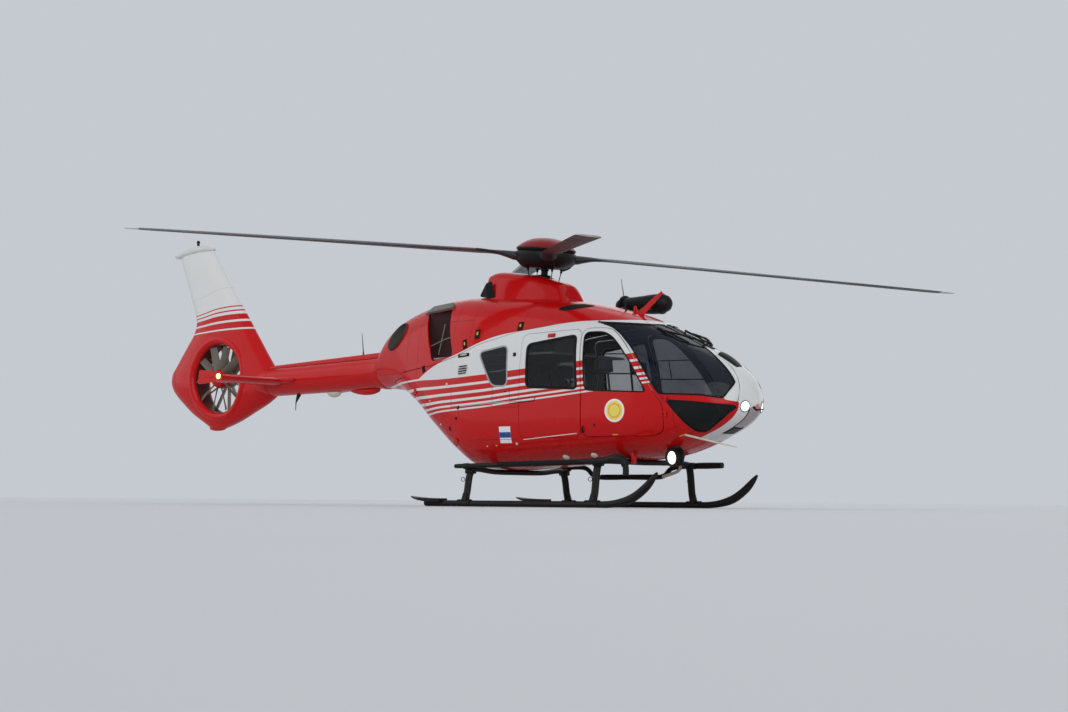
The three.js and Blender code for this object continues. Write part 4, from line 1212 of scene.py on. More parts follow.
def make_boom():
    def place(u, v):
        x = -2.640 - 2.310 * v
        middle, wide, high = BOOM_LINES.at(x)
        return at(x, wide * math.cos(u * math.tau), middle + high * math.sin(u * math.tau))

    bm = walled_grid(56, 60, place, at(-3.8, 0, 1.72), 0.010)
    piece("tail_boom_skin", bm, RED_PAINT, replaces=["tail_boom"])

    def root(u, v):
        turn = math.tau * u
        x = TAIL_X + 0.004 - 0.050 * v
        middle, wide, high = BOOM_LINES.at(x)
        pod = pod_point(TAIL_X + 0.004, turn)
        boom = at(x, (wide - 0.001) * math.cos(turn), middle + (high - 0.001) * math.sin(turn))
        share = 0.985 * (1 - v) ** 2
        return Vector((at(x, 0, 0).x, *(boom.yz * (1 - share) + pod.yz * share)))

    bm = walled_grid(64, 8, root, at(-2.70, 0, 1.77), 0.004)
    piece("boom_root", bm, RED_PAINT)

    def fin_end(u, v):
        turn = math.tau * u
        wide = 0.1965 - 0.060 * v ** 1.4
        return at(-4.940 - 0.270 * v, wide * math.cos(turn), 1.690 + 0.1965 * (1 - 0.06 * v) * math.sin(turn))

    bm = walled_grid(56, 12, fin_end, at(-5.05, 0, 1.69), 0.004)
    piece("boom_fin_end", bm, RED_PAINT)
    bm = bmesh.new()
    for x, half in ((-2.705, 0.030), (-4.905, 0.016)):
        middle, wide, high = BOOM_LINES.at(x)
        hoop(bm, wide - 0.004, wide + 0.0035, half, 56, facing((1, 0, 0), at(x, 0, middle)))
    piece("boom_bands", bm, RED_PAINT)

    def ridge(u, v):
        x = -2.600 - 2.430 * v
        half = 0.090 - 0.018 * v
        top = 2.036 - 0.124 * v
        foot = 1.890 - 0.070 * v
        turn = math.pi * u
        taper = min(1.0, v * 30 + 0.2)
        return at(x, half * power(math.cos(turn), 4.0) * (0.75 + 0.25 * taper),
                  foot + (top - foot) * power(math.sin(turn), 4.0) * (0.55 + 0.45 * taper))

    piece("shaft_cover_skin", closed_grid(32, 80, ridge), RED_PAINT, replaces=["drive_shaft_cover"])
    bm = bmesh.new()

    def blister(u, v):
        x = -2.84 - 0.58 * v
        swell = math.sin(math.pi * v ** 0.8) ** 0.6
        turn = math.tau * u
        return at(x, 0.055 * swell * math.cos(turn), 1.540 + 0.055 * swell * math.sin(turn) - 0.02 * swell)

    mapped_grid(bm, 24, 24, blister)
    tidy(bm, 1e-4)
    piece("boom_blister", bm, RED_PAINT)
    bm = bmesh.new()
    for side in (-1, 1):
        line = []
        for k in range(25):
            x = -2.74 - 2.26 * k / 24
            middle, wide, high = BOOM_LINES.at(x)
            y = 0.0925 - 0.018 * (-2.6 - x) / 2.43
            line.append(at(x, side * y, middle + high * math.sqrt(max(0.0, 1 - (y / wide) ** 2)) + 0.001))
        sweep(bm, line, 0.0035, 6)
    piece("ridge_seams", bm, RUBBER)
    bm = bmesh.new()
    for side in (-1, 1):
        root = Matrix.Translation(at(-4.520, side * 0.215, 1.697))
        root = root @ Matrix.Diagonal((0.250, 0.060, 0.044, 1.0))
        bmesh.ops.create_uvsphere(bm, u_segments=32, v_segments=16, radius=1.0, matrix=root)
    piece("stabilizer_roots", bm, RED_PAINT)
    bm = bmesh.new()
    dome = [(0.0, -0.062), (0.050, -0.056), (0.095, -0.036), (0.118, -0.008), (0.118, 0.012), (0.0, 0.012)]
    turned(bm, dome, 40, Matrix.Translation(at(-3.71, 0, 1.512)) @ Matrix.Diagonal((1.0, 0.55, 1.0, 1.0)))
    piece("boom_aerial_dome", bm, CREAM)
    bm = bmesh.new()
    sweep(bm, [at(-4.40, 0, 1.51), at(-4.43, 0, 1.46), at(-4.46, 0, 1.40), at(-4.465, 0, 1.29)],
          [0.030, 0.022, 0.008, 0.004], 12)
    sweep(bm, [at(-3.17, 0, 2.00), at(-3.172, 0, 2.06), at(-3.20, 0, 2.30)], [0.012, 0.007, 0.003], 10)
    piece("boom_aerials", bm, BLACK)


def fin_spot(z, turn):
    front, rear, half = FIN_SHAPE.at(z)
    middle, reach = (front + rear) / 2, (front - rear) / 2
    return at(middle + reach * power(math.cos(turn), 2.3), half * power(math.sin(turn), 2.3), z)


def fin_turn(x, z, side):
    front, rear, half = FIN_SHAPE.at(z)
    share = (x - (front + rear) / 2) / ((front - rear) / 2)
    turn = math.acos(max(-1.0, min(1.0, math.copysign(abs(share) ** 1.15, share))))
    return turn if side > 0 else math.tau - turn


def fin_half(x, z):
    """Half thickness of the shroud at a side-view point."""
    return abs(fin_spot(z, fin_turn(x, z, 1)).y)


def make_fin():
    """Fin and shroud skin with a rolled duct lip."""
    top = 3.675
    outer = (run((1.040, 0.0), (top, 0.0), 90) + run((top, 0.0), (top, math.tau), 80)
             + run((top, math.tau), (1.040, math.tau), 90) + run((1.040, math.tau), (1.040, 0.0), 80))
    holes = []
    for side in (-1, 1):
        ring = []
        for k in range(96):
            turn = math.tau * k / 96
            x, z = FAN_AT.x + LIP_R * math.cos(turn), FAN_AT.z + LIP_R * math.sin(turn)
            ring.append((z, fin_turn(x, z, side)))
        holes.append(ring)
    levels = [1.040 + 0.03 * k for k in range(1, 60)] + [2.84 + 0.06 * k for k in range(14)]
    turns = [math.tau * k / 72 for k in range(1, 72)]
    bm = cut_flat([outer] + holes, (levels, turns))
    for v in bm.verts:
        v.co = fin_spot(v.co.x, v.co.y)
    bmesh.ops.remove_doubles(bm, verts=bm.verts[:], dist=2e-4)
    cut_away(bm, at(-6.31, 0, 3.650), (-0.1357, 0, 1))
    ends = [e for e in bm.edges if e.is_boundary
            and (max(v.co.z for v in e.verts) < 1.05 or min(v.co.z for v in e.verts) > 3.3)]
    bmesh.ops.holes_fill(bm, edges=ends, sides=0)
    point_out(bm, at(-5.93, 0, 2.0))
    piece("fin_shroud_skin", bm, TAIL_PAINT, replaces=["fin_shroud"], smooth=40)
    bm = bmesh.new()

    def lip(u, v):
        radius, lift, share = LIP[round(v * (len(LIP) - 1))]
        turn = math.tau * u
        c, s = math.cos(turn), math.sin(turn)
        outside = fin_half(FAN_AT.x + LIP_R * c, FAN_AT.z + LIP_R * s)
        return at(FAN_AT.x + radius * c, share * (outside + lift), FAN_AT.z + radius * s)

    mapped_grid(bm, 96, len(LIP) - 1, lip)
    tidy(bm)
    if sum(f.normal.dot(at(FAN_AT.x, 0, FAN_AT.z) - f.calc_center_median()) for f in bm.faces) < 0:
        bmesh.ops.reverse_faces(bm, faces=bm.faces[:])
    # Faces deep in the duct take the near-black red: painted shade inside the duct
    for face in bm.faces:
        spot = face.calc_center_median()
        deep = math.hypot(spot.x - at(FAN_AT.x, 0, 0).x, spot.z - FAN_AT.z) < 0.481
        face.material_index = 1 if deep else 0
    piece("duct_lip", bm, [RED_PAINT, DUCT_SHADE_PAINT])
    bm = bmesh.new()
    bumper = Matrix.Translation(at(-6.060, 0, 1.076)) @ Matrix.Diagonal((0.170, 0.060, 0.045, 1.0))
    bmesh.ops.create_uvsphere(bm, u_segments=32, v_segments=16, radius=1.0, matrix=bumper)
    piece("tail_bumper", bm, RED_PAINT)

    def cap(u, v):
        x = -6.200 - 0.850 * v
        under, over, half = CAP_LINES.at(x)
        middle, reach = (under + over) / 2, (over - under) / 2
        turn = math.tau * u
        return at(x, half * power(math.cos(turn), 2.4), middle + reach * power(math.sin(turn), 2.4))

    piece("fin_cap_skin", closed_grid(40, 44, cap, 1e-4), CAP_PAINT, replaces=["fin_cap"])


def make_stabilizer():
    def place(u, v):
        y = -1.335 + 2.670 * v
        tip = min(1.0, (1.335 - abs(y)) / 0.060)
        ease = math.sqrt(max(0.0, 1 - (1 - tip) ** 2))
        turn = math.tau * u
        chord = 0.240 * (0.70 + 0.30 * ease)
        nose = 1 + 0.30 * math.cos(turn)
        thick = 0.040 if math.sin(turn) > 0 else 0.068
        rise = thick * (0.12 + 0.88 * ease) * math.sin(turn) * nose
        return at(-4.720 + chord * math.cos(turn), y, 1.697 + rise)

    piece("stabilizer_skin", closed_grid(40, 90, place, 1e-4), RED_PAINT, replaces=["stabilizer"])
    for name, side in SIDES:
        bm = bmesh.new()
        turned(bm, [(0.0, 0.046), (0.020, 0.042), (0.034, 0.026), (0.038, 0.0), (0.0, 0.0)], 24,
               facing((0.25, side, 0.0), at(-4.560, side * 1.312, 1.700)))
        piece(f"position_lamp_{name}", bm, GREEN_LAMP if side < 0 else RED_LAMP)
        bm = bmesh.new()
        tip = rounded([(-4.97, 1.60), (-4.47, 1.64), (-4.52, 1.76), (-4.95, 1.80)], 0.04)
        slab(bm, tip, side * 1.318, side * 1.330)
        piece(f"stabilizer_tip_{name}", bm, RED_PAINT)


def make_tail_fan():
    """Fan rotor with twisted blades, and the vanes that carry its gearbox."""
    spin = facing((0, -1, 0), at(FAN_AT.x, 0, FAN_AT.z))
    bm = bmesh.new()
    hub = [(0.0, 0.212), (0.045, 0.206), (0.085, 0.186), (0.116, 0.152), (0.134, 0.110), (0.140, 0.070),
           (0.140, 0.0), (0.0, 0.0)]
    turned(bm, hub, 48, spin)
    piece("fan_hub", bm, RED_PAINT, "tail_rotor", ["tail_fan"])
    bm = bmesh.new()
    for k in range(10):
        angle = math.tau * k / 10
        carry = spin @ Matrix.Rotation(angle, 4, "Z")

        def blade(u, v, carry=carry):
            r = 0.125 + 0.341 * v
            pitch = math.radians(52 - 24 * v)
            chord = 0.058 - 0.006 * v
            turn = math.tau * u
            a = chord * math.cos(turn)
            b = 0.0085 * math.sin(turn) * (1 + 0.4 * math.cos(turn)) * (1.15 - 0.4 * v)
            return carry @ Vector((r, a * math.cos(pitch) - b * math.sin(pitch),
                                   0.095 + a * math.sin(pitch) + b * math.cos(pitch)))

        mapped_grid(bm, 16, 14, blade)
    seal(bm)
    piece("fan_blades", bm, FAN_BLADE, "tail_rotor")
    bm = bmesh.new()
    body = [(0.0, -0.014), (0.128, -0.014), (0.128, -0.10), (0.112, -0.150), (0.070, -0.172), (0.0, -0.178)]
    turned(bm, body, 48, spin)
    for k in range(11):
        carry = spin @ Matrix.Rotation(math.tau * k / 11 + 0.15, 4, "Z")

        def vane(u, v, carry=carry):
            r = 0.120 + 0.368 * v
            turn = math.tau * u
            a, b = 0.045 * math.cos(turn), 0.010 * math.sin(turn) * (1 + 0.4 * math.cos(turn))
            return carry @ Vector((r, b + a * 0.30, -0.090 + a))

        mapped_grid(bm, 14, 8, vane)
    seal(bm)
    piece("fan_vanes", bm, VANE, replaces=["fan_stator"])


# Main rotor
MAST = Matrix.Translation(at(0, 0, HUB_Z)) @ Matrix.Rotation(TILT, 4, "Y")
BLADE = Table((
    (0.121, 0.200, 0.110, -0.026, 0.0), (0.380, 0.220, 0.112, -0.024, 0.0),
    (0.480, 0.180, 0.086, -0.012, 0.0), (0.620, 0.180, 0.050, 0.0, 0.0), (0.800, 0.285, 0.036, 0.0, 0.0),
    (1.200, 0.290, 0.036, -0.005, 0.0), (3.000, 0.290, 0.034, -0.030, 0.0),
    (4.800, 0.290, 0.028, -0.058, 0.0), (5.060, 0.250, 0.020, -0.063, 0.012),
    (5.200, 0.100, 0.010, -0.066, 0.028),
))

# Rotor head outlines, radius and height: one lens, black below and red above
HEAD_BOWL = (
    (0.0, -0.158), (0.200, -0.156), (0.262, -0.145), (0.320, -0.118), (0.364, -0.076), (0.388, -0.030),
    (0.392, 0.006), (0.380, 0.034), (0.0, 0.036),
)
HEAD_DOME = (
    (0.0, 0.224), (0.060, 0.222), (0.120, 0.216), (0.180, 0.204), (0.236, 0.184), (0.286, 0.158),
    (0.330, 0.126), (0.360, 0.098), (0.372, 0.084), (0.374, 0.074), (0.366, 0.058), (0.346, 0.037),
    (0.0, 0.0365),
)


# Pitch link and pitch horn of one blade, along it, across it and up
LINK = ((0.168, 0.070, -0.430), (0.205, 0.074, -0.240), (0.222, 0.076, -0.110))
HORN = ((0.200, 0.030, -0.130), (0.226, 0.074, -0.150), (0.310, 0.070, -0.110), (0.380, 0.030, -0.040))


def make_rotor():
    bm = bmesh.new()
    shaft = [(0.0, -0.545), (0.050, -0.545), (0.050, -0.500), (0.150, -0.496), (0.156, -0.470),
             (0.150, -0.446), (0.052, -0.440), (0.043, -0.420), (0.043, -0.190), (0.052, -0.180),
             (0.058, -0.130), (0.0, -0.130)]
    turned(bm, shaft, 48, MAST)
    piece("mast_and_swashplate", bm, BLACK, "main_rotor")
    bm = bmesh.new()
    turned(bm, HEAD_BOWL, 64, MAST)
    piece("rotor_head_bowl", bm, BLACK, "main_rotor", ["rotor_head"])
    bm = bmesh.new()
    turned(bm, HEAD_DOME, 72, Matrix())
    for face in bm.faces:
        face.material_index = 0 if face.calc_center_median().z > 0.088 else 1
    bmesh.ops.transform(bm, matrix=MAST, verts=bm.verts[:])
    piece("rotor_cap", bm, [HUB_RED, BLACK], "main_rotor", ["hub_cap"])
    bm = bmesh.new()
    for k in range(4):
        carry = MAST @ Matrix.Rotation(math.radians(45 + 90 * k), 4, "Z")
        sweep(bm, [carry @ Vector(p) for p in LINK], 0.006, 10)
        turned(bm, [(0.0, -0.018), (0.012, -0.014), (0.016, 0.0), (0.012, 0.014), (0.0, 0.018)], 14,
               carry @ Matrix.Translation((0.214, 0.074, -0.185)))
        horn = smooth_path([carry @ Vector(p) for p in HORN], 5)
        sweep(bm, horn, [0.026] * 6 + [0.026] * 5 + [0.020] * 5, 12)
    piece("pitch_links", bm, BLACK, "main_rotor")
    for k in range(4):
        carry = MAST @ Matrix.Rotation(math.radians(45 + 90 * k), 4, "Z")
        bm = bmesh.new()

        def skin(u, v, carry=carry):
            r = 0.121 + 5.079 * (v ** 1.35)
            chord, thick, drop, sweep_back = BLADE.at(r)
            turn = math.tau * u
            clear = min(1.0, max(0.0, (r - 0.45) / 0.4))
            twist = math.radians(7.0 - 8.0 * min(1.0, max(0.0, (r - 0.8) / 4.4))) * clear
            fat = 1 + 0.42 * math.cos(turn) * clear
            a = chord / 2 * math.cos(turn) - sweep_back
            b = thick / 2 * math.sin(turn) * fat
            return carry @ Vector((r, a * math.cos(twist) - b * math.sin(twist),
                                   drop + a * math.sin(twist) + b * math.cos(twist)))

        mapped_grid(bm, 32, 110, skin)
        seal(bm)
        centre = carry.inverted()
        for face in bm.faces:
            spot = centre @ face.calc_center_median()
            if spot.x > 5.02:
                face.material_index = 2
            elif spot.x > 0.9 and spot.y > 0.118:
                face.material_index = 1
        skins = [BLADE_SKIN, STEEL, BLADE_TIP]
        piece(f"rotor_blade_{k + 1}", bm, skins, "main_rotor", [f"blade_{k + 1}"], smooth=50)


# Landing gear
SKID_PATH = (
    (-1.05, 0.038), (-0.3, 0.038), (0.6, 0.038), (1.5, 0.038), (1.85, 0.046), (2.12, 0.105), (2.33, 0.235),
    (2.49, 0.400),
)
SKID_GIRTH = Table((
    (-1.10, 0.037), (1.50, 0.037), (1.85, 0.041), (2.12, 0.050), (2.33, 0.047), (2.43, 0.034),
    (2.50, 0.010),
))
ARCHES = (("front", 1.560, 0.538), ("rear", -0.420, 0.424))


def make_skids():
    for name, side in SIDES:
        bm = bmesh.new()
        path = smooth_path([at(x, side * 1.000, max(z, 0.038)) for x, z in SKID_PATH], 8)
        sweep(bm, path, [SKID_GIRTH.at(p.x - MAST_X)[0] for p in path], 24)
        piece(f"skid_tube_{name}", bm, BLACK, replaces=[f"skid_{name}"])
        bm = bmesh.new()
        leaf = bmesh.ops.create_grid(bm, x_segments=16, y_segments=4, size=0.5)["verts"]
        for v in leaf:
            u = v.co.x + 0.5
            wide = 0.100 * math.sin(math.pi * min(0.5, 0.06 + 1.1 * u)) * (1.0 - 0.8 * max(0.0, u - 0.75))
            v.co = at(-1.300 + 0.520 * u, side + 2 * v.co.y * wide, 0.098 + 0.026 * (1 - u) ** 3)
        made = bmesh.ops.extrude_face_region(bm, geom=bm.faces[:])["geom"]
        for v in made:
            if isinstance(v, bmesh.types.BMVert):
                v.co.z -= 0.012 + 0.030 * min(1.0, (v.co.x - at(-1.3, 0, 0).x) / 0.30)
        bmesh.ops.recalc_face_normals(bm, faces=bm.faces[:])
        clamp = [at(x, side, 0.041) for x in (-1.065, -1.055, -0.985, -0.975)]
        sweep(bm, clamp, [0.036, 0.0405, 0.0405, 0.036], 24)
        for x in (-0.95, -0.83):
            turned(bm, [(0.0, 0.016), (0.012, 0.014), (0.013, 0.0), (0.0, 0.0)], 8,
                   Matrix.Translation(at(x, side, 0.076)))
        piece(f"skid_heel_{name}", bm, BLACK)
        bm = bmesh.new()
        block(bm, at(-0.885, side - 0.010, 0.087), (0.110, 0.075, 0.006), 0.002)
        piece(f"skid_marker_{name}", bm, PALE_TAPE)


def arch_path(x, z):
    up = max(z, 0.455)
    half = [(0.985, 0.072), (0.955, 0.180), (0.905, up - 0.060), (0.800, up), (0.450, z + 0.004)]
    path = [at(x, -y, h) for y, h in half] + [at(x, 0, z)] + [at(x, y, h) for y, h in reversed(half)]
    return path


def make_arches():
    """Cross tubes with streamlined legs, saddles on the skids, knees and tie-down rings."""
    for name, x, z in ARCHES:
        bm = bmesh.new()
        sweep(bm, smooth_path(arch_path(x, z), 7), 0.033, 20)
        for v in bm.verts:
            v.co.x = at(x, 0, 0).x + (v.co.x - at(x, 0, 0).x) * 1.5
        piece(f"{name}_arch", bm, BLACK, replaces=[f"{name}_cross_tube"])
        bm = bmesh.new()
        for side in (-1, 1):
            shoe = [(0.039, -0.105), (0.050, -0.100), (0.050, 0.100), (0.039, 0.105), (0.039, -0.105)]
            turned(bm, shoe, 32, facing((1, 0, 0), at(x, side, 0.038)))
        cut_away(bm, (0, 0, 0.022), (0, 0, -1))
        close_ends(bm)
        for side in (-1, 1):
            cuff = [(0.030, -0.050), (0.044, -0.045), (0.037, 0.050), (0.030, 0.055), (0.030, -0.050)]
            leg = facing((0, -side * 0.26, 1), at(x, side * 0.980, 0.105))
            turned(bm, cuff, 24, leg @ Matrix.Diagonal((1.0, 1.4, 1.0, 1.0)))
            block(bm, at(x + 0.005, side * 0.900, max(z, 0.455) - 0.020), (0.130, 0.080, 0.075), 0.014)
            ring = [at(x - 0.058, side * (0.968 + 0.004 * k), 0.300) for k in (0, 1)]
            hoop(bm, 0.022, 0.028, 0.003, 24, facing((0.2, side, 0), ring[0] + Vector((0, 0, 0.03))))
            for dx in (-0.070, 0.070):
                for dy in (-0.040, 0.040):
                    turned(bm, [(0.0, 0.010), (0.009, 0.009), (0.010, 0.0), (0.0, 0.0)], 6,
                           facing((0, dy, 0.05), at(x + dx, side * 1.0 + dy, 0.066)))
        piece(f"{name}_arch_fittings", bm, BLACK)


STEP_PATHS = {
    "right": ((-0.600, 0.490), (0.000, 0.500), (1.000, 0.520), (1.850, 0.548), (1.980, 0.540), (2.022, 0.470),
              (2.026, 0.372)),
    "left": ((-0.600, 0.490), (-0.150, 0.500), (0.060, 0.385), (0.560, 0.378), (1.080, 0.385), (1.300, 0.500),
             (2.000, 0.520)),
}
STEP_GIRTH = Table((
    (-0.65, 0.018), (-0.55, 0.028), (0.00, 0.030), (1.30, 0.031), (1.75, 0.040), (2.02, 0.036),
))


def make_steps():
    for name, side in SIDES:
        bm = bmesh.new()
        path = smooth_path([at(x, side * 0.975, z) for x, z in STEP_PATHS[name]], 8)
        sweep(bm, path, [STEP_GIRTH.at(p.x - MAST_X)[0] for p in path], 20)
        for (_, x, z), high in zip(ARCHES, (0.535 if side < 0 else 0.508, 0.490)):
            sweep(bm, [at(x, side * 0.975, high), at(x, side * 0.880, high - 0.070)], 0.020, 14)
            clamp = [(0.029, -0.040), (0.036, -0.036), (0.036, 0.036), (0.029, 0.040), (0.029, -0.040)]
            turned(bm, clamp, 24, facing((1, 0, 0.02), at(x, side * 0.975, high)))
        piece(f"step_bar_{name}", bm, BLACK, replaces=[f"step_{name}"])
        bm = bmesh.new()
        low, high = (0.10, 1.42) if side < 0 else (0.14, 1.02)
        level = 0.511 if side < 0 else 0.381
        slope = 0.018 if side < 0 else 0.0
        grip = [at(low, side * 0.975, level + 0.001 - slope * 0.3),
                at(high, side * 0.975, level + 0.001 + slope)]
        sweep(bm, grip, 0.0325, 20)
        piece(f"step_grip_{name}", bm, RUBBER)
    bm = bmesh.new()
    sweep(bm, smooth_path([at(1.700, -0.975, 0.545), at(1.790, -0.975, 0.556), at(1.880, -0.975, 0.568),
                           at(1.985, -0.975, 0.545), at(2.020, -0.975, 0.480)], 5),
          [0.040] * 5 + [0.046] * 5 + [0.050] * 5 + [0.046] * 5 + [0.040], 18)
    piece("step_elbow_right", bm, BLACK)
    bm = bmesh.new()
    brace = smooth_path([at(1.120, 0.965, 0.386), at(1.155, 0.940, 0.390), at(1.384, 0.915, 0.455),
                         at(1.440, 0.880, 0.545), at(1.460, 0.830, 0.650)], 6)
    sweep(bm, brace, [0.012] + [0.020] * (len(brace) - 2) + [0.024], 14)
    piece("step_brace_left", bm, CREAM)


# Roof and nose fittings
def make_capsule():
    """Black capsule on the port edge of the roof."""
    bm = bmesh.new()
    profile = [(0.0, 0.0), (0.045, 0.010), (0.078, 0.035), (0.098, 0.080), (0.106, 0.150), (0.108, 0.300),
               (0.114, 0.420), (0.124, 0.560), (0.126, 0.640), (0.118, 0.730), (0.094, 0.795), (0.052, 0.832),
               (0.0, 0.842)]
    turned(bm, profile, 48, facing((1, 0, 0.0), at(0.430, 0.900, 2.530)))
    piece("roof_capsule", bm, BLACK, replaces=["hoist"])
    bm = bmesh.new()
    for x, z in ((0.700, 2.400), (1.050, 2.340)):
        arm = [at(x, 0.880, 2.470), at(x, 0.700, 2.470), at(x, 0.480, z + 0.03), at(x, 0.300, z)]
        sweep(bm, smooth_path(arm, 5), 0.026, 16)
    for x in (0.560, 1.130):
        hoop(bm, 0.100, 0.131, 0.014, 48, facing((1, 0, 0), at(x, 0.900, 2.530)))
    piece("capsule_arms", bm, BLACK)


def make_searchlight():
    bm = bmesh.new()
    lamp = at(2.255, -0.345, 0.586)
    aim = Vector((-0.225, -0.974, -0.06))
    can = [(0.0, -0.105), (0.052, -0.100), (0.086, -0.072), (0.100, -0.020), (0.105, 0.040), (0.104, 0.058),
           (0.096, 0.064), (0.086, 0.060), (0.078, 0.046), (0.0, 0.044)]
    turned(bm, can, 40, facing(aim, lamp))
    for k in range(3):
        hoop(bm, 0.094, 0.106, 0.004, 40, facing(aim, lamp + aim.normalized() * (-0.028 + 0.022 * k)))
    piece("searchlight_can", bm, BLACK, replaces=["searchlight"])
    bm = bmesh.new()
    lens = [(0.0, 0.054), (0.040, 0.052), (0.074, 0.047), (0.077, 0.044), (0.0, 0.044)]
    turned(bm, lens, 40, facing(aim, lamp))
    piece("searchlight_lens", bm, WHITE_LAMP)
    bm = bmesh.new()
    sweep(bm, [at(2.240, -0.300, 0.650), at(2.225, -0.290, 0.790)], [0.050, 0.070], 20)
    sweep(bm, smooth_path([at(2.150, -0.340, 0.590), at(2.160, -0.310, 0.672), at(2.235, -0.295, 0.706),
                           at(2.320, -0.290, 0.672), at(2.352, -0.300, 0.590)], 5), 0.013, 12)
    piece("searchlight_yoke", bm, BLACK)


def make_cutters():
    bm = bmesh.new()
    slab(bm, [(1.400, 2.300), (1.500, 2.270), (1.815, 2.545), (1.800, 2.575), (1.700, 2.520)], -0.006, 0.006)
    slab(bm, [(1.380, 2.300), (1.470, 2.290), (1.420, 2.420), (1.385, 2.420)], -0.004, 0.004)
    piece("wire_cutter_blade_upper", bm, RED_PAINT, replaces=["wire_cutter_upper"])
    bm = bmesh.new()
    rod = [at(2.384, -0.440, 0.862), at(2.440, -0.430, 0.850), at(2.800, -0.358, 0.765),
           at(3.088, -0.301, 0.699)]
    sweep(bm, rod, [0.013, 0.013, 0.012, 0.006], 12)
    piece("chin_rod", bm, CREAM, replaces=["chin_bar"])


def on_nose(x, y, lift, below=False):
    """Point off the upper or the lower skin at a station and side offset."""
    belly, roof, half, middle, upper, lower = POD_LINES.at(x)
    turn = math.acos(min(1.0, abs(y) / half) ** ((lower if below else upper) / 2.0))
    turn = -turn if below else turn
    if y < 0:
        turn = math.pi - turn
    return pod_point(x, turn) + pod_normal(x, turn) * lift


def strip_on_nose(bm, rear, front, half, lift, wall):
    """Flat strip over the centre line of the pod, from one station to another."""

    def place(u, v):
        x = rear + (front - rear) * v
        return at(x, half * (u * 2 - 1), POD_LINES.at(x)[1] + lift)

    mapped_grid(bm, 4, 40, place)
    point_out(bm, POD_HEART)
    give_wall(bm, wall)


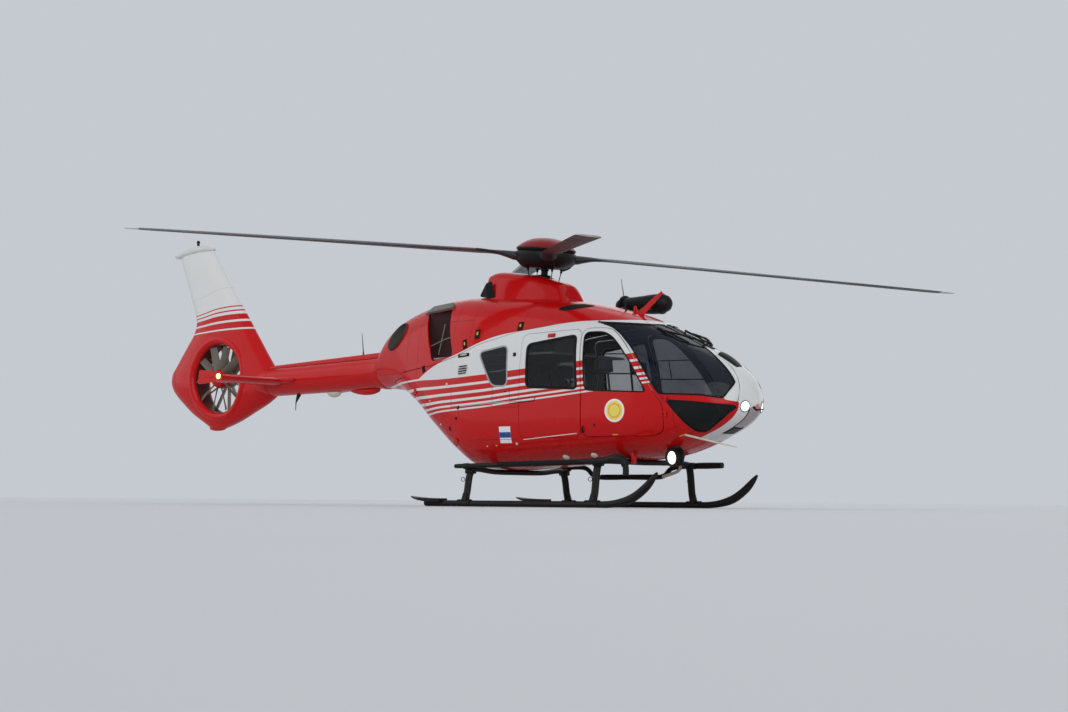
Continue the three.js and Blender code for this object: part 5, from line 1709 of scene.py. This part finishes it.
def make_nose_fittings():
    bm = bmesh.new()
    strip_on_nose(bm, 1.900, 2.560, 0.030, 0.014, 0.016)
    for x in (1.98, 2.14, 2.30, 2.46):
        roof = POD_LINES.at(x)[1]
        turned(bm, [(0.0, 0.022), (0.012, 0.020), (0.014, 0.010), (0.014, 0.0), (0.0, 0.0)], 12,
               facing((0.35, 0, 1), at(x, 0.0, roof + 0.004)))
    piece("centre_deflector", bm, BLACK)
    bm = bmesh.new()
    for side in (-1, 1):
        pivot = on_nose(2.46, side * 0.060, 0.030)
        elbow = on_nose(2.30, side * 0.160, 0.045)
        tip = on_nose(2.02, side * 0.300, 0.020)
        sweep(bm, smooth_path([pivot, elbow, tip], 6), [0.016] * 7 + [0.012] * 5 + [0.009], 10)
        blade_a, blade_b = on_nose(2.36, side * 0.225, 0.010), on_nose(1.94, side * 0.275, 0.010)
        sweep(bm, [blade_a, (blade_a + blade_b) / 2 + Vector((0, 0, 0.006)), blade_b], 0.012, 8)
        turned(bm, [(0.0, 0.030), (0.020, 0.028), (0.024, 0.0), (0.0, 0.0)], 16,
               facing((0.3, 0, 1), pivot - Vector((0, 0, 0.028))))
    piece("wipers", bm, BLACK)

    def inlet(u, v):
        x = 2.690 + 0.250 * v
        swell = math.sin(math.pi * min(1.0, 0.25 + 0.75 * v)) ** 0.5 if v < 0.999 else 0.0
        roof = POD_LINES.at(x)[1]
        turn = math.pi * u
        rise = 0.036 * (0.2 + swell) * math.sin(turn)
        return at(x, 0.090 * (0.65 + 0.35 * swell) * math.cos(turn) - 0.02, roof - 0.008 + rise)

    piece("nose_inlet", closed_grid(20, 20, inlet), BLACK)
    for name, side in SIDES:
        spot = on_skin(3.116, 1.168, side)
        out = pod_normal(3.116, side_turn(3.116, 1.168, side))
        bm = bmesh.new()
        ring = [(0.056, -0.030), (0.066, -0.012), (0.067, 0.001), (0.062, 0.005), (0.056, 0.002),
                (0.056, -0.030)]
        turned(bm, ring, 40, facing(out, spot))
        piece(f"nose_lamp_bezel_{name}", bm, HOOD_PAINT)
        bm = bmesh.new()
        lens = [(0.0, 0.004), (0.030, 0.003), (0.057, 0.0), (0.057, -0.014), (0.0, -0.014)]
        turned(bm, lens, 32, facing(out, spot))
        piece(f"nose_lamp_{name}", bm, WHITE_LAMP)
    bm = bmesh.new()
    turned(bm, [(0.0, 0.018), (0.022, 0.015), (0.034, 0.004), (0.036, -0.020), (0.0, -0.020)], 28,
           facing((1, 0, -0.1), at(3.170, 0, 1.172)))
    piece("nose_tip_lamp", bm, RED_LAMP)
    bm = bmesh.new()
    sweep(bm, [at(3.140, 0.0, 1.126), at(3.200, 0, 1.132), at(3.259, 0, 1.138)], [0.010, 0.007, 0.004], 12)
    piece("pitot_tube", bm, BLACK)
    for part, line, half, finish, lift in (("lamp_window", (2.925, 3.150), 0.100, LAMP_GLASS, 0.004),
                                           ("lamp_window_frame", (2.905, 3.162), 0.114, BLACK, 0.001),
                                           ("nose_grille", (2.757, 2.905), 0.110, RUBBER, 0.003)):
        bm = bmesh.new()

        def patch(u, v, line=line, half=half, lift=lift):
            x = line[0] + (line[1] - line[0]) * v
            wide = POD_LINES.at(x)[2]
            return on_nose(x, min(half, wide * 0.80) * (u * 2 - 1), lift, below=True)

        mapped_grid(bm, 12, 16, patch)
        point_out(bm, POD_HEART)
        give_wall(bm, 0.008)
        piece(part, bm, finish)
    bm = bmesh.new()
    for k in range(5):
        x = 2.775 + 0.028 * k
        bar = [on_nose(x, y, 0.005, below=True) for y in (-0.09, -0.045, 0.0, 0.045, 0.09)]
        sweep(bm, bar, 0.005, 8)
    piece("nose_grille_bars", bm, HOOD_PAINT)
    bm = bmesh.new()
    for side in (-1, 1):
        line = smooth_path([on_nose(2.689, side * 0.142, 0.0005), on_nose(2.918, side * 0.154, 0.0005),
                            on_nose(3.050, side * 0.200, 0.0005), on_skin(3.078, 1.261, side, 0.0005),
                            on_skin(3.066, 1.205, side, 0.0005)], 8)
        sweep(bm, line, 0.0028, 8)
    piece("nose_seams", bm, RUBBER)


def make_aerials():
    bm = bmesh.new()
    whip = [at(1.344, -0.10, 2.340), at(1.335, -0.10, 2.400), at(1.267, -0.10, 2.745)]
    sweep(bm, whip, [0.014, 0.007, 0.003], 10)
    piece("roof_whip", bm, BLACK)
    bm = bmesh.new()
    post = [(0.0, 0.066), (0.016, 0.062), (0.024, 0.046), (0.026, 0.030), (0.018, 0.024),
            (0.020, -0.010), (0.0, -0.010)]
    turned(bm, post, 28, Matrix.Translation(at(-6.555, 0, 3.730)))
    piece("fin_beacon", bm, BLACK)
    bm = bmesh.new()
    for x, z in ((0.800, 0.600), (1.220, 0.620)):
        lamp = on_skin(x, z, -1, 0.0)
        turned(bm, [(0.0, 0.030), (0.024, 0.026), (0.042, 0.012), (0.046, -0.010), (0.0, -0.010)], 28,
               facing((0, -0.35, -1), lamp))
    piece("belly_lamps", bm, CREAM)
    bm = bmesh.new()
    block(bm, at(1.740, -0.450, 0.590), (0.036, 0.060, 0.150), 0.008)
    piece("belly_post", bm, RED_PAINT)


# Fittings on the sides: station, height, length, height and lean of each
LATCHES = (
    (-0.501, 2.121, 0.080, 0.120, 0.05), (0.163, 2.189, 0.078, 0.110, 0.05),
    (-0.694, 2.002, 0.070, 0.120, 0.30), (-1.483, 1.725, 0.060, 0.085, 0.35),
)
CATCHES = (
    (0.144, 1.841, 0.046, 0.046, 0.0), (-0.758, 1.216, 0.030, 0.050, -0.50),
    (-0.801, 1.085, 0.034, 0.034, 0.0), (-0.950, 0.960, 0.030, 0.055, -0.35),
    (1.385, 0.967, 0.020, 0.030, 0.0), (1.205, 0.905, 0.030, 0.060, 0.0), (0.020, 1.395, 0.022, 0.016, 0.0),
)
KNOBS = (
    (-0.986, 1.515, 0.019), (-1.335, 1.317, 0.012), (-1.150, 1.020, 0.012), (-1.100, 0.880, 0.011),
    (0.178, 0.759, 0.018), (-0.300, 0.735, 0.009),
)
SMALL_MARKS = ((1.658, 0.852, 0.070, 0.014), (2.444, 0.841, 0.090, 0.016), (-0.150, 0.742, 0.030, 0.014))

# Sliding door's rail, the rail's cover and the sill in side view, and the handle's path with its lift
DOOR_RAIL = ((-0.760, 1.224), (-0.760, 1.236), (0.105, 1.280), (0.105, 1.268))
RAIL_COVER = ((0.112, 1.250), (0.490, 1.272), (0.490, 1.314), (0.112, 1.292))
DOOR_SILL = ((0.299, 0.806), (1.120, 0.868), (1.120, 0.876), (0.299, 0.814))
DOOR_HANDLE = ((1.222, 0.885, 0.002), (1.222, 0.895, 0.022), (1.222, 0.940, 0.022), (1.222, 0.950, 0.002))


def skin_frame(x, z, side, lift=0.0, lean=0.0):
    """Matrix on the pod's side: X forward, Y along the skin, Z outward."""
    out = pod_normal(x, side_turn(x, z, side))
    ahead = (Vector((1, 0, 0)) - out * out.x).normalized()
    matrix = Matrix((ahead, out.cross(ahead), out)).transposed().to_4x4()
    matrix.translation = on_skin(x, z, side, lift)
    return matrix @ Matrix.Rotation(-side * lean, 4, "Z")


def plate(bm, spot, side, thick=0.008, lift=0.002, bevel=0.003):
    x, z, long, high, lean = spot
    made = block(bm, (0, 0, 0), (long, high, thick), bevel)
    bmesh.ops.transform(bm, matrix=skin_frame(x, z, side, lift, lean), verts=made)


def make_side_fittings():
    """Latches, catches, louvres, rail and marks on both sides."""
    for name, side in SIDES:
        bm = bmesh.new()
        for spot in LATCHES:
            plate(bm, spot, side)
        for spot in CATCHES:
            plate(bm, spot, side, 0.006, 0.001, 0.002)
        for k in range(4):
            long = 0.150 - 0.012 * abs(k - 1.5)
            plate(bm, (-0.698 + 0.004 * k, 1.640 + 0.029 * k, long, 0.013, 0.06), side, 0.012, 0.007)
        plate(bm, (-0.691, 1.864, 0.190, 0.044, 0.06), side, 0.010, 0.002, 0.0045)
        piece(f"side_catches_{name}", bm, RUBBER)
        bm = bmesh.new()
        for x, z, long, high, lean in LATCHES[:3]:
            plate(bm, (x, z + 0.005, long * 0.30, high * 0.36, lean), side, 0.006, 0.008, 0.002)
        for x, z, long, high in SMALL_MARKS:
            plate(bm, (x, z, long, high, 0.0), side, 0.003, 0.0015, 0.001)
        piece(f"yellow_marks_{name}", bm, YELLOW)
        bm = bmesh.new()
        for x, z, radius in KNOBS:
            knob = [(0.0, 0.012), (radius * 0.7, 0.010), (radius, 0.002), (radius, -0.004), (0.0, -0.004)]
            turned(bm, knob, 16, skin_frame(x, z, side))
        plate(bm, (-0.691, 1.867, 0.110, 0.016, 0.06), side, 0.006, 0.008, 0.003)
        piece(f"side_knobs_{name}", bm, CREAM)
        bm = bmesh.new()
        plate(bm, (0.684, 2.050, 0.105, 0.046, 0.06), side, 0.022, 0.006, 0.007)
        piece(f"door_stop_{name}", bm, RED_PAINT)
        rail = wrapped([flattened(DOOR_RAIL, side)], 0.006, 0.004)
        piece(f"door_rail_{name}", rail, GREY)
        cover = rounded(RAIL_COVER, 0.012)
        cover_skin = wrapped([flattened(cover, side)], 0.010, 0.010)
        piece(f"rail_cover_{name}", cover_skin, POD_PAINT)
        edge = wrapped([flattened(grown(cover, 0.006), side), flattened(cover, side)], 0.004, 0.002)
        piece(f"rail_cover_edge_{name}", edge, RUBBER)
        sill = wrapped([flattened(DOOR_SILL, side)], 0.004, 0.002)
        piece(f"door_sill_{name}", sill, PALE_TAPE)
        bm = bmesh.new()
        handle = [skin_frame(x, z, side, lift).translation for x, z, lift in DOOR_HANDLE]
        sweep(bm, handle, 0.009, 12)
        piece(f"door_handle_{name}", bm, BLACK, f"pilot_door_{name}")


# Door hinges: the axis as two points, knuckle starts along it, and the frame's and the door's arms
HINGES = (
    ("pilot_door", (2.345, 0.655, 1.000), (2.345, 0.655, 1.100), (0.050, 0.220), ((0.028, -0.052, 0.0),),
     ((-0.060, 0.0, 0.0), (-0.095, -0.040, 0.0))),
    ("clamshell", (-0.802, 0.705, 0.795), (-1.702, 0.572, 1.496), (0.010, 1.060), ((0.018, -0.050, 0.024),),
     ((-0.035, 0.0, -0.044), (-0.060, -0.078, -0.076))),
)

KNUCKLE = ((0.0, 0.0), (0.011, 0.0), (0.013, 0.002), (0.013, 0.028), (0.011, 0.030), (0.0, 0.030))


def make_hinges():
    """Two hinges a door, each a knuckle on the frame and one on the door, with the arms that carry them."""
    for door, low, high, starts, frame_arm, door_arm in HINGES:
        for name, side in SIDES:
            flip = Vector((1, side, 1))
            foot = at(*(Vector(low) * flip))
            run_up = (at(*(Vector(high) * flip)) - foot).normalized()
            for which, reach in enumerate((frame_arm, door_arm)):
                bm = bmesh.new()
                for start in starts:
                    base = foot + run_up * (start + which * 0.0304)
                    turned(bm, KNUCKLE, 20, facing(run_up, base))
                    path = [base + run_up * 0.015]
                    for step in reach:
                        path.append(base + run_up * 0.015 + Vector(step) * flip)
                    sweep(bm, path, 0.0065, 10)
                owner = "airframe" if which == 0 else f"{door}_{name}"
                role = "frame" if which == 0 else "leaf"
                piece(f"{door}_hinge_{role}_{name}", bm, RED_PAINT, owner)


# Cabin: the solids that only get a finish, and the seats: station, places across, width
NODE_FINISHES = (
    ("cabin_floor", FLOOR_MAT), ("engine_deck", DECK_PAINT), ("engine_right", ENGINE_METAL),
    ("engine_left", ENGINE_METAL), ("main_gearbox", ENGINE_METAL), ("instrument_panel", BLACK_PLASTIC),
)
SEATS = (
    ("pilot_seat_right", 1.480, (-0.340,), 0.460), ("pilot_seat_left", 1.480, (0.340,), 0.460),
    ("rear_bench", 0.300, (-0.390, 0.0, 0.390), 0.380),
)


def pad(bm, centre, size, lean=0.0, crown=0.16, channels=(), along="x"):
    """Crowned pad: its sides pull in between the corners, and sewn channels cross its face."""
    old = set(bm.verts)
    cube = bmesh.ops.create_cube(bm, size=2.0)["verts"]
    bmesh.ops.subdivide_edges(bm, edges=edges_of(cube), cuts=15, use_grid_fill=True)
    made = [v for v in bm.verts if v not in old]
    for v in made:
        p = v.co
        reach = max(abs(c) for c in p)
        spread = sum(abs(c) ** 7 for c in p) ** (1 / 7)
        p = p * (reach / spread)
        dips = sum(math.exp(-((p.x - c) / 0.045) ** 2) for c in channels)
        face = (1 - p.x ** 2) * (1 - p.y ** 2)
        swell = 1 + crown * face - (0.10 * dips * (1 - p.y ** 4) if p.z > 0.3 else 0.0)
        welt = 1 + 0.025 * math.exp(-((abs(p.z) - 0.72) / 0.07) ** 2)
        pull_x, pull_y = 1 - 0.04 * (1 - p.y ** 2), 1 - 0.04 * (1 - p.x ** 2)
        v.co = Vector((p.x * pull_x * welt, p.y * pull_y * welt, p.z * swell))
    matrix = Matrix.Translation(at(*centre)) @ Matrix.Rotation(lean, 4, "Y")
    matrix = matrix @ Matrix.Diagonal((*[c / 2 for c in size], 1.0))
    bmesh.ops.transform(bm, matrix=matrix, verts=made)
    bmesh.ops.recalc_face_normals(bm, faces=[f for f in bm.faces if f.verts[0] in set(made)])


def make_cabin():
    for node, finish in NODE_FINISHES:
        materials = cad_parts[node].data.materials
        materials.clear()
        materials.append(finish)
    for name, x, places, wide in SEATS:
        bm = bmesh.new()
        for y in places:
            pad(bm, (x + 0.010, y, 1.036), (0.440, wide * 0.95, 0.105), channels=(-0.45, 0.0, 0.45))
            lean = math.radians(82)
            pad(bm, (x - 0.232, y, 1.325), (0.560, wide * 0.95, 0.085), lean, channels=(-0.5, -0.1, 0.3))
            pad(bm, (x - 0.282, y, 1.690), (0.160, wide * 0.60, 0.085), lean)
        cushions = piece(f"{name}_cushions", bm, SEAT_CLOTH, replaces=[name])
        bm = bmesh.new()
        for y in places:
            block(bm, at(x + 0.005, y, 0.968), (0.400, wide * 0.90, 0.030), 0.010)
            for across in (-0.15, 0.15):
                block(bm, at(x + 0.005, y + across, 0.830), (0.370, 0.024, 0.256), 0.010)
            for across in (-0.11, 0.11):
                post = ((0.200, 0.985), (0.268, 1.300), (0.318, 1.700))
                sweep(bm, [at(x - back, y + across, z) for back, z in post], 0.013, 12)
        piece(f"{name}_frame", bm, BLACK_PLASTIC)
    bm = bmesh.new()
    aft = Vector((-0.984, 0, -0.179))
    for y in (-0.235, -0.080, 0.080, 0.235):
        made = block(bm, (0, 0, 0), (0.135, 0.175, 0.008), 0.004)
        screen = facing(aft, at(2.088, y, 1.170)) @ Matrix.Rotation(math.pi / 2, 4, "Z")
        bmesh.ops.transform(bm, matrix=screen, verts=made)
    piece("panel_screens", bm, SCREEN)


make_fairing()
make_exhausts()
make_bays()
make_boom()
make_fin()
make_stabilizer()
make_tail_fan()
make_rotor()
make_skids()
make_arches()
make_steps()
make_capsule()
make_searchlight()
make_cutters()
make_nose_fittings()
make_aerials()
make_side_fittings()
make_hinges()
make_cabin()


# Floor, light and camera
def make_stage():
    bm = bmesh.new()
    bmesh.ops.create_grid(bm, x_segments=2, y_segments=2, size=120)
    mesh = bpy.data.meshes.new("floor")
    bm.to_mesh(mesh)
    bm.free()
    floor = bpy.data.objects.new("floor", mesh)
    bpy.context.scene.collection.objects.link(floor)
    finish = Finish("pale_floor", (0.60, 0.61, 0.62, 1), 0.8)
    stain = finish.noise(0.4, 3.0) * 0.3
    finish.send("Base Color", finish.mix(stain, (0.62, 0.63, 0.64, 1), (0.55, 0.56, 0.57, 1)))
    mesh.materials.append(finish.done())


def make_lights():
    world = bpy.data.worlds.new("overcast")
    bpy.context.scene.world = world
    world.use_nodes = True
    back = world.node_tree.nodes["Background"]
    back.inputs["Color"].default_value = (0.78, 0.82, 0.88, 1)
    back.inputs["Strength"].default_value = 0.72
    bpy.context.scene.view_settings.view_transform = "Standard"
    for name, source, energy, angle in LIGHTS:
        light = bpy.data.lights.new(name, "SUN")
        light.energy = energy
        light.angle = math.radians(angle)
        obj = bpy.data.objects.new(name, light)
        obj.matrix_world = facing(source, 20.0 * Vector(source))
        bpy.context.scene.collection.objects.link(obj)


def make_camera():
    camera = bpy.data.cameras.new("camera")
    camera.lens = LENS
    camera.sensor_width = 36.0
    camera.clip_end = 500
    obj = bpy.data.objects.new("camera", camera)
    view = Vector((math.cos(CAMERA_YAW), math.sin(CAMERA_YAW), math.tan(CAMERA_PITCH)))
    turn = view.to_track_quat("-Z", "Y").to_matrix().to_4x4() @ Matrix.Rotation(CAMERA_ROLL, 4, "Z")
    obj.matrix_world = Matrix.Translation(CAMERA_AT) @ turn
    bpy.context.scene.collection.objects.link(obj)
    bpy.context.scene.camera = obj


make_stage()
make_lights()
make_camera()
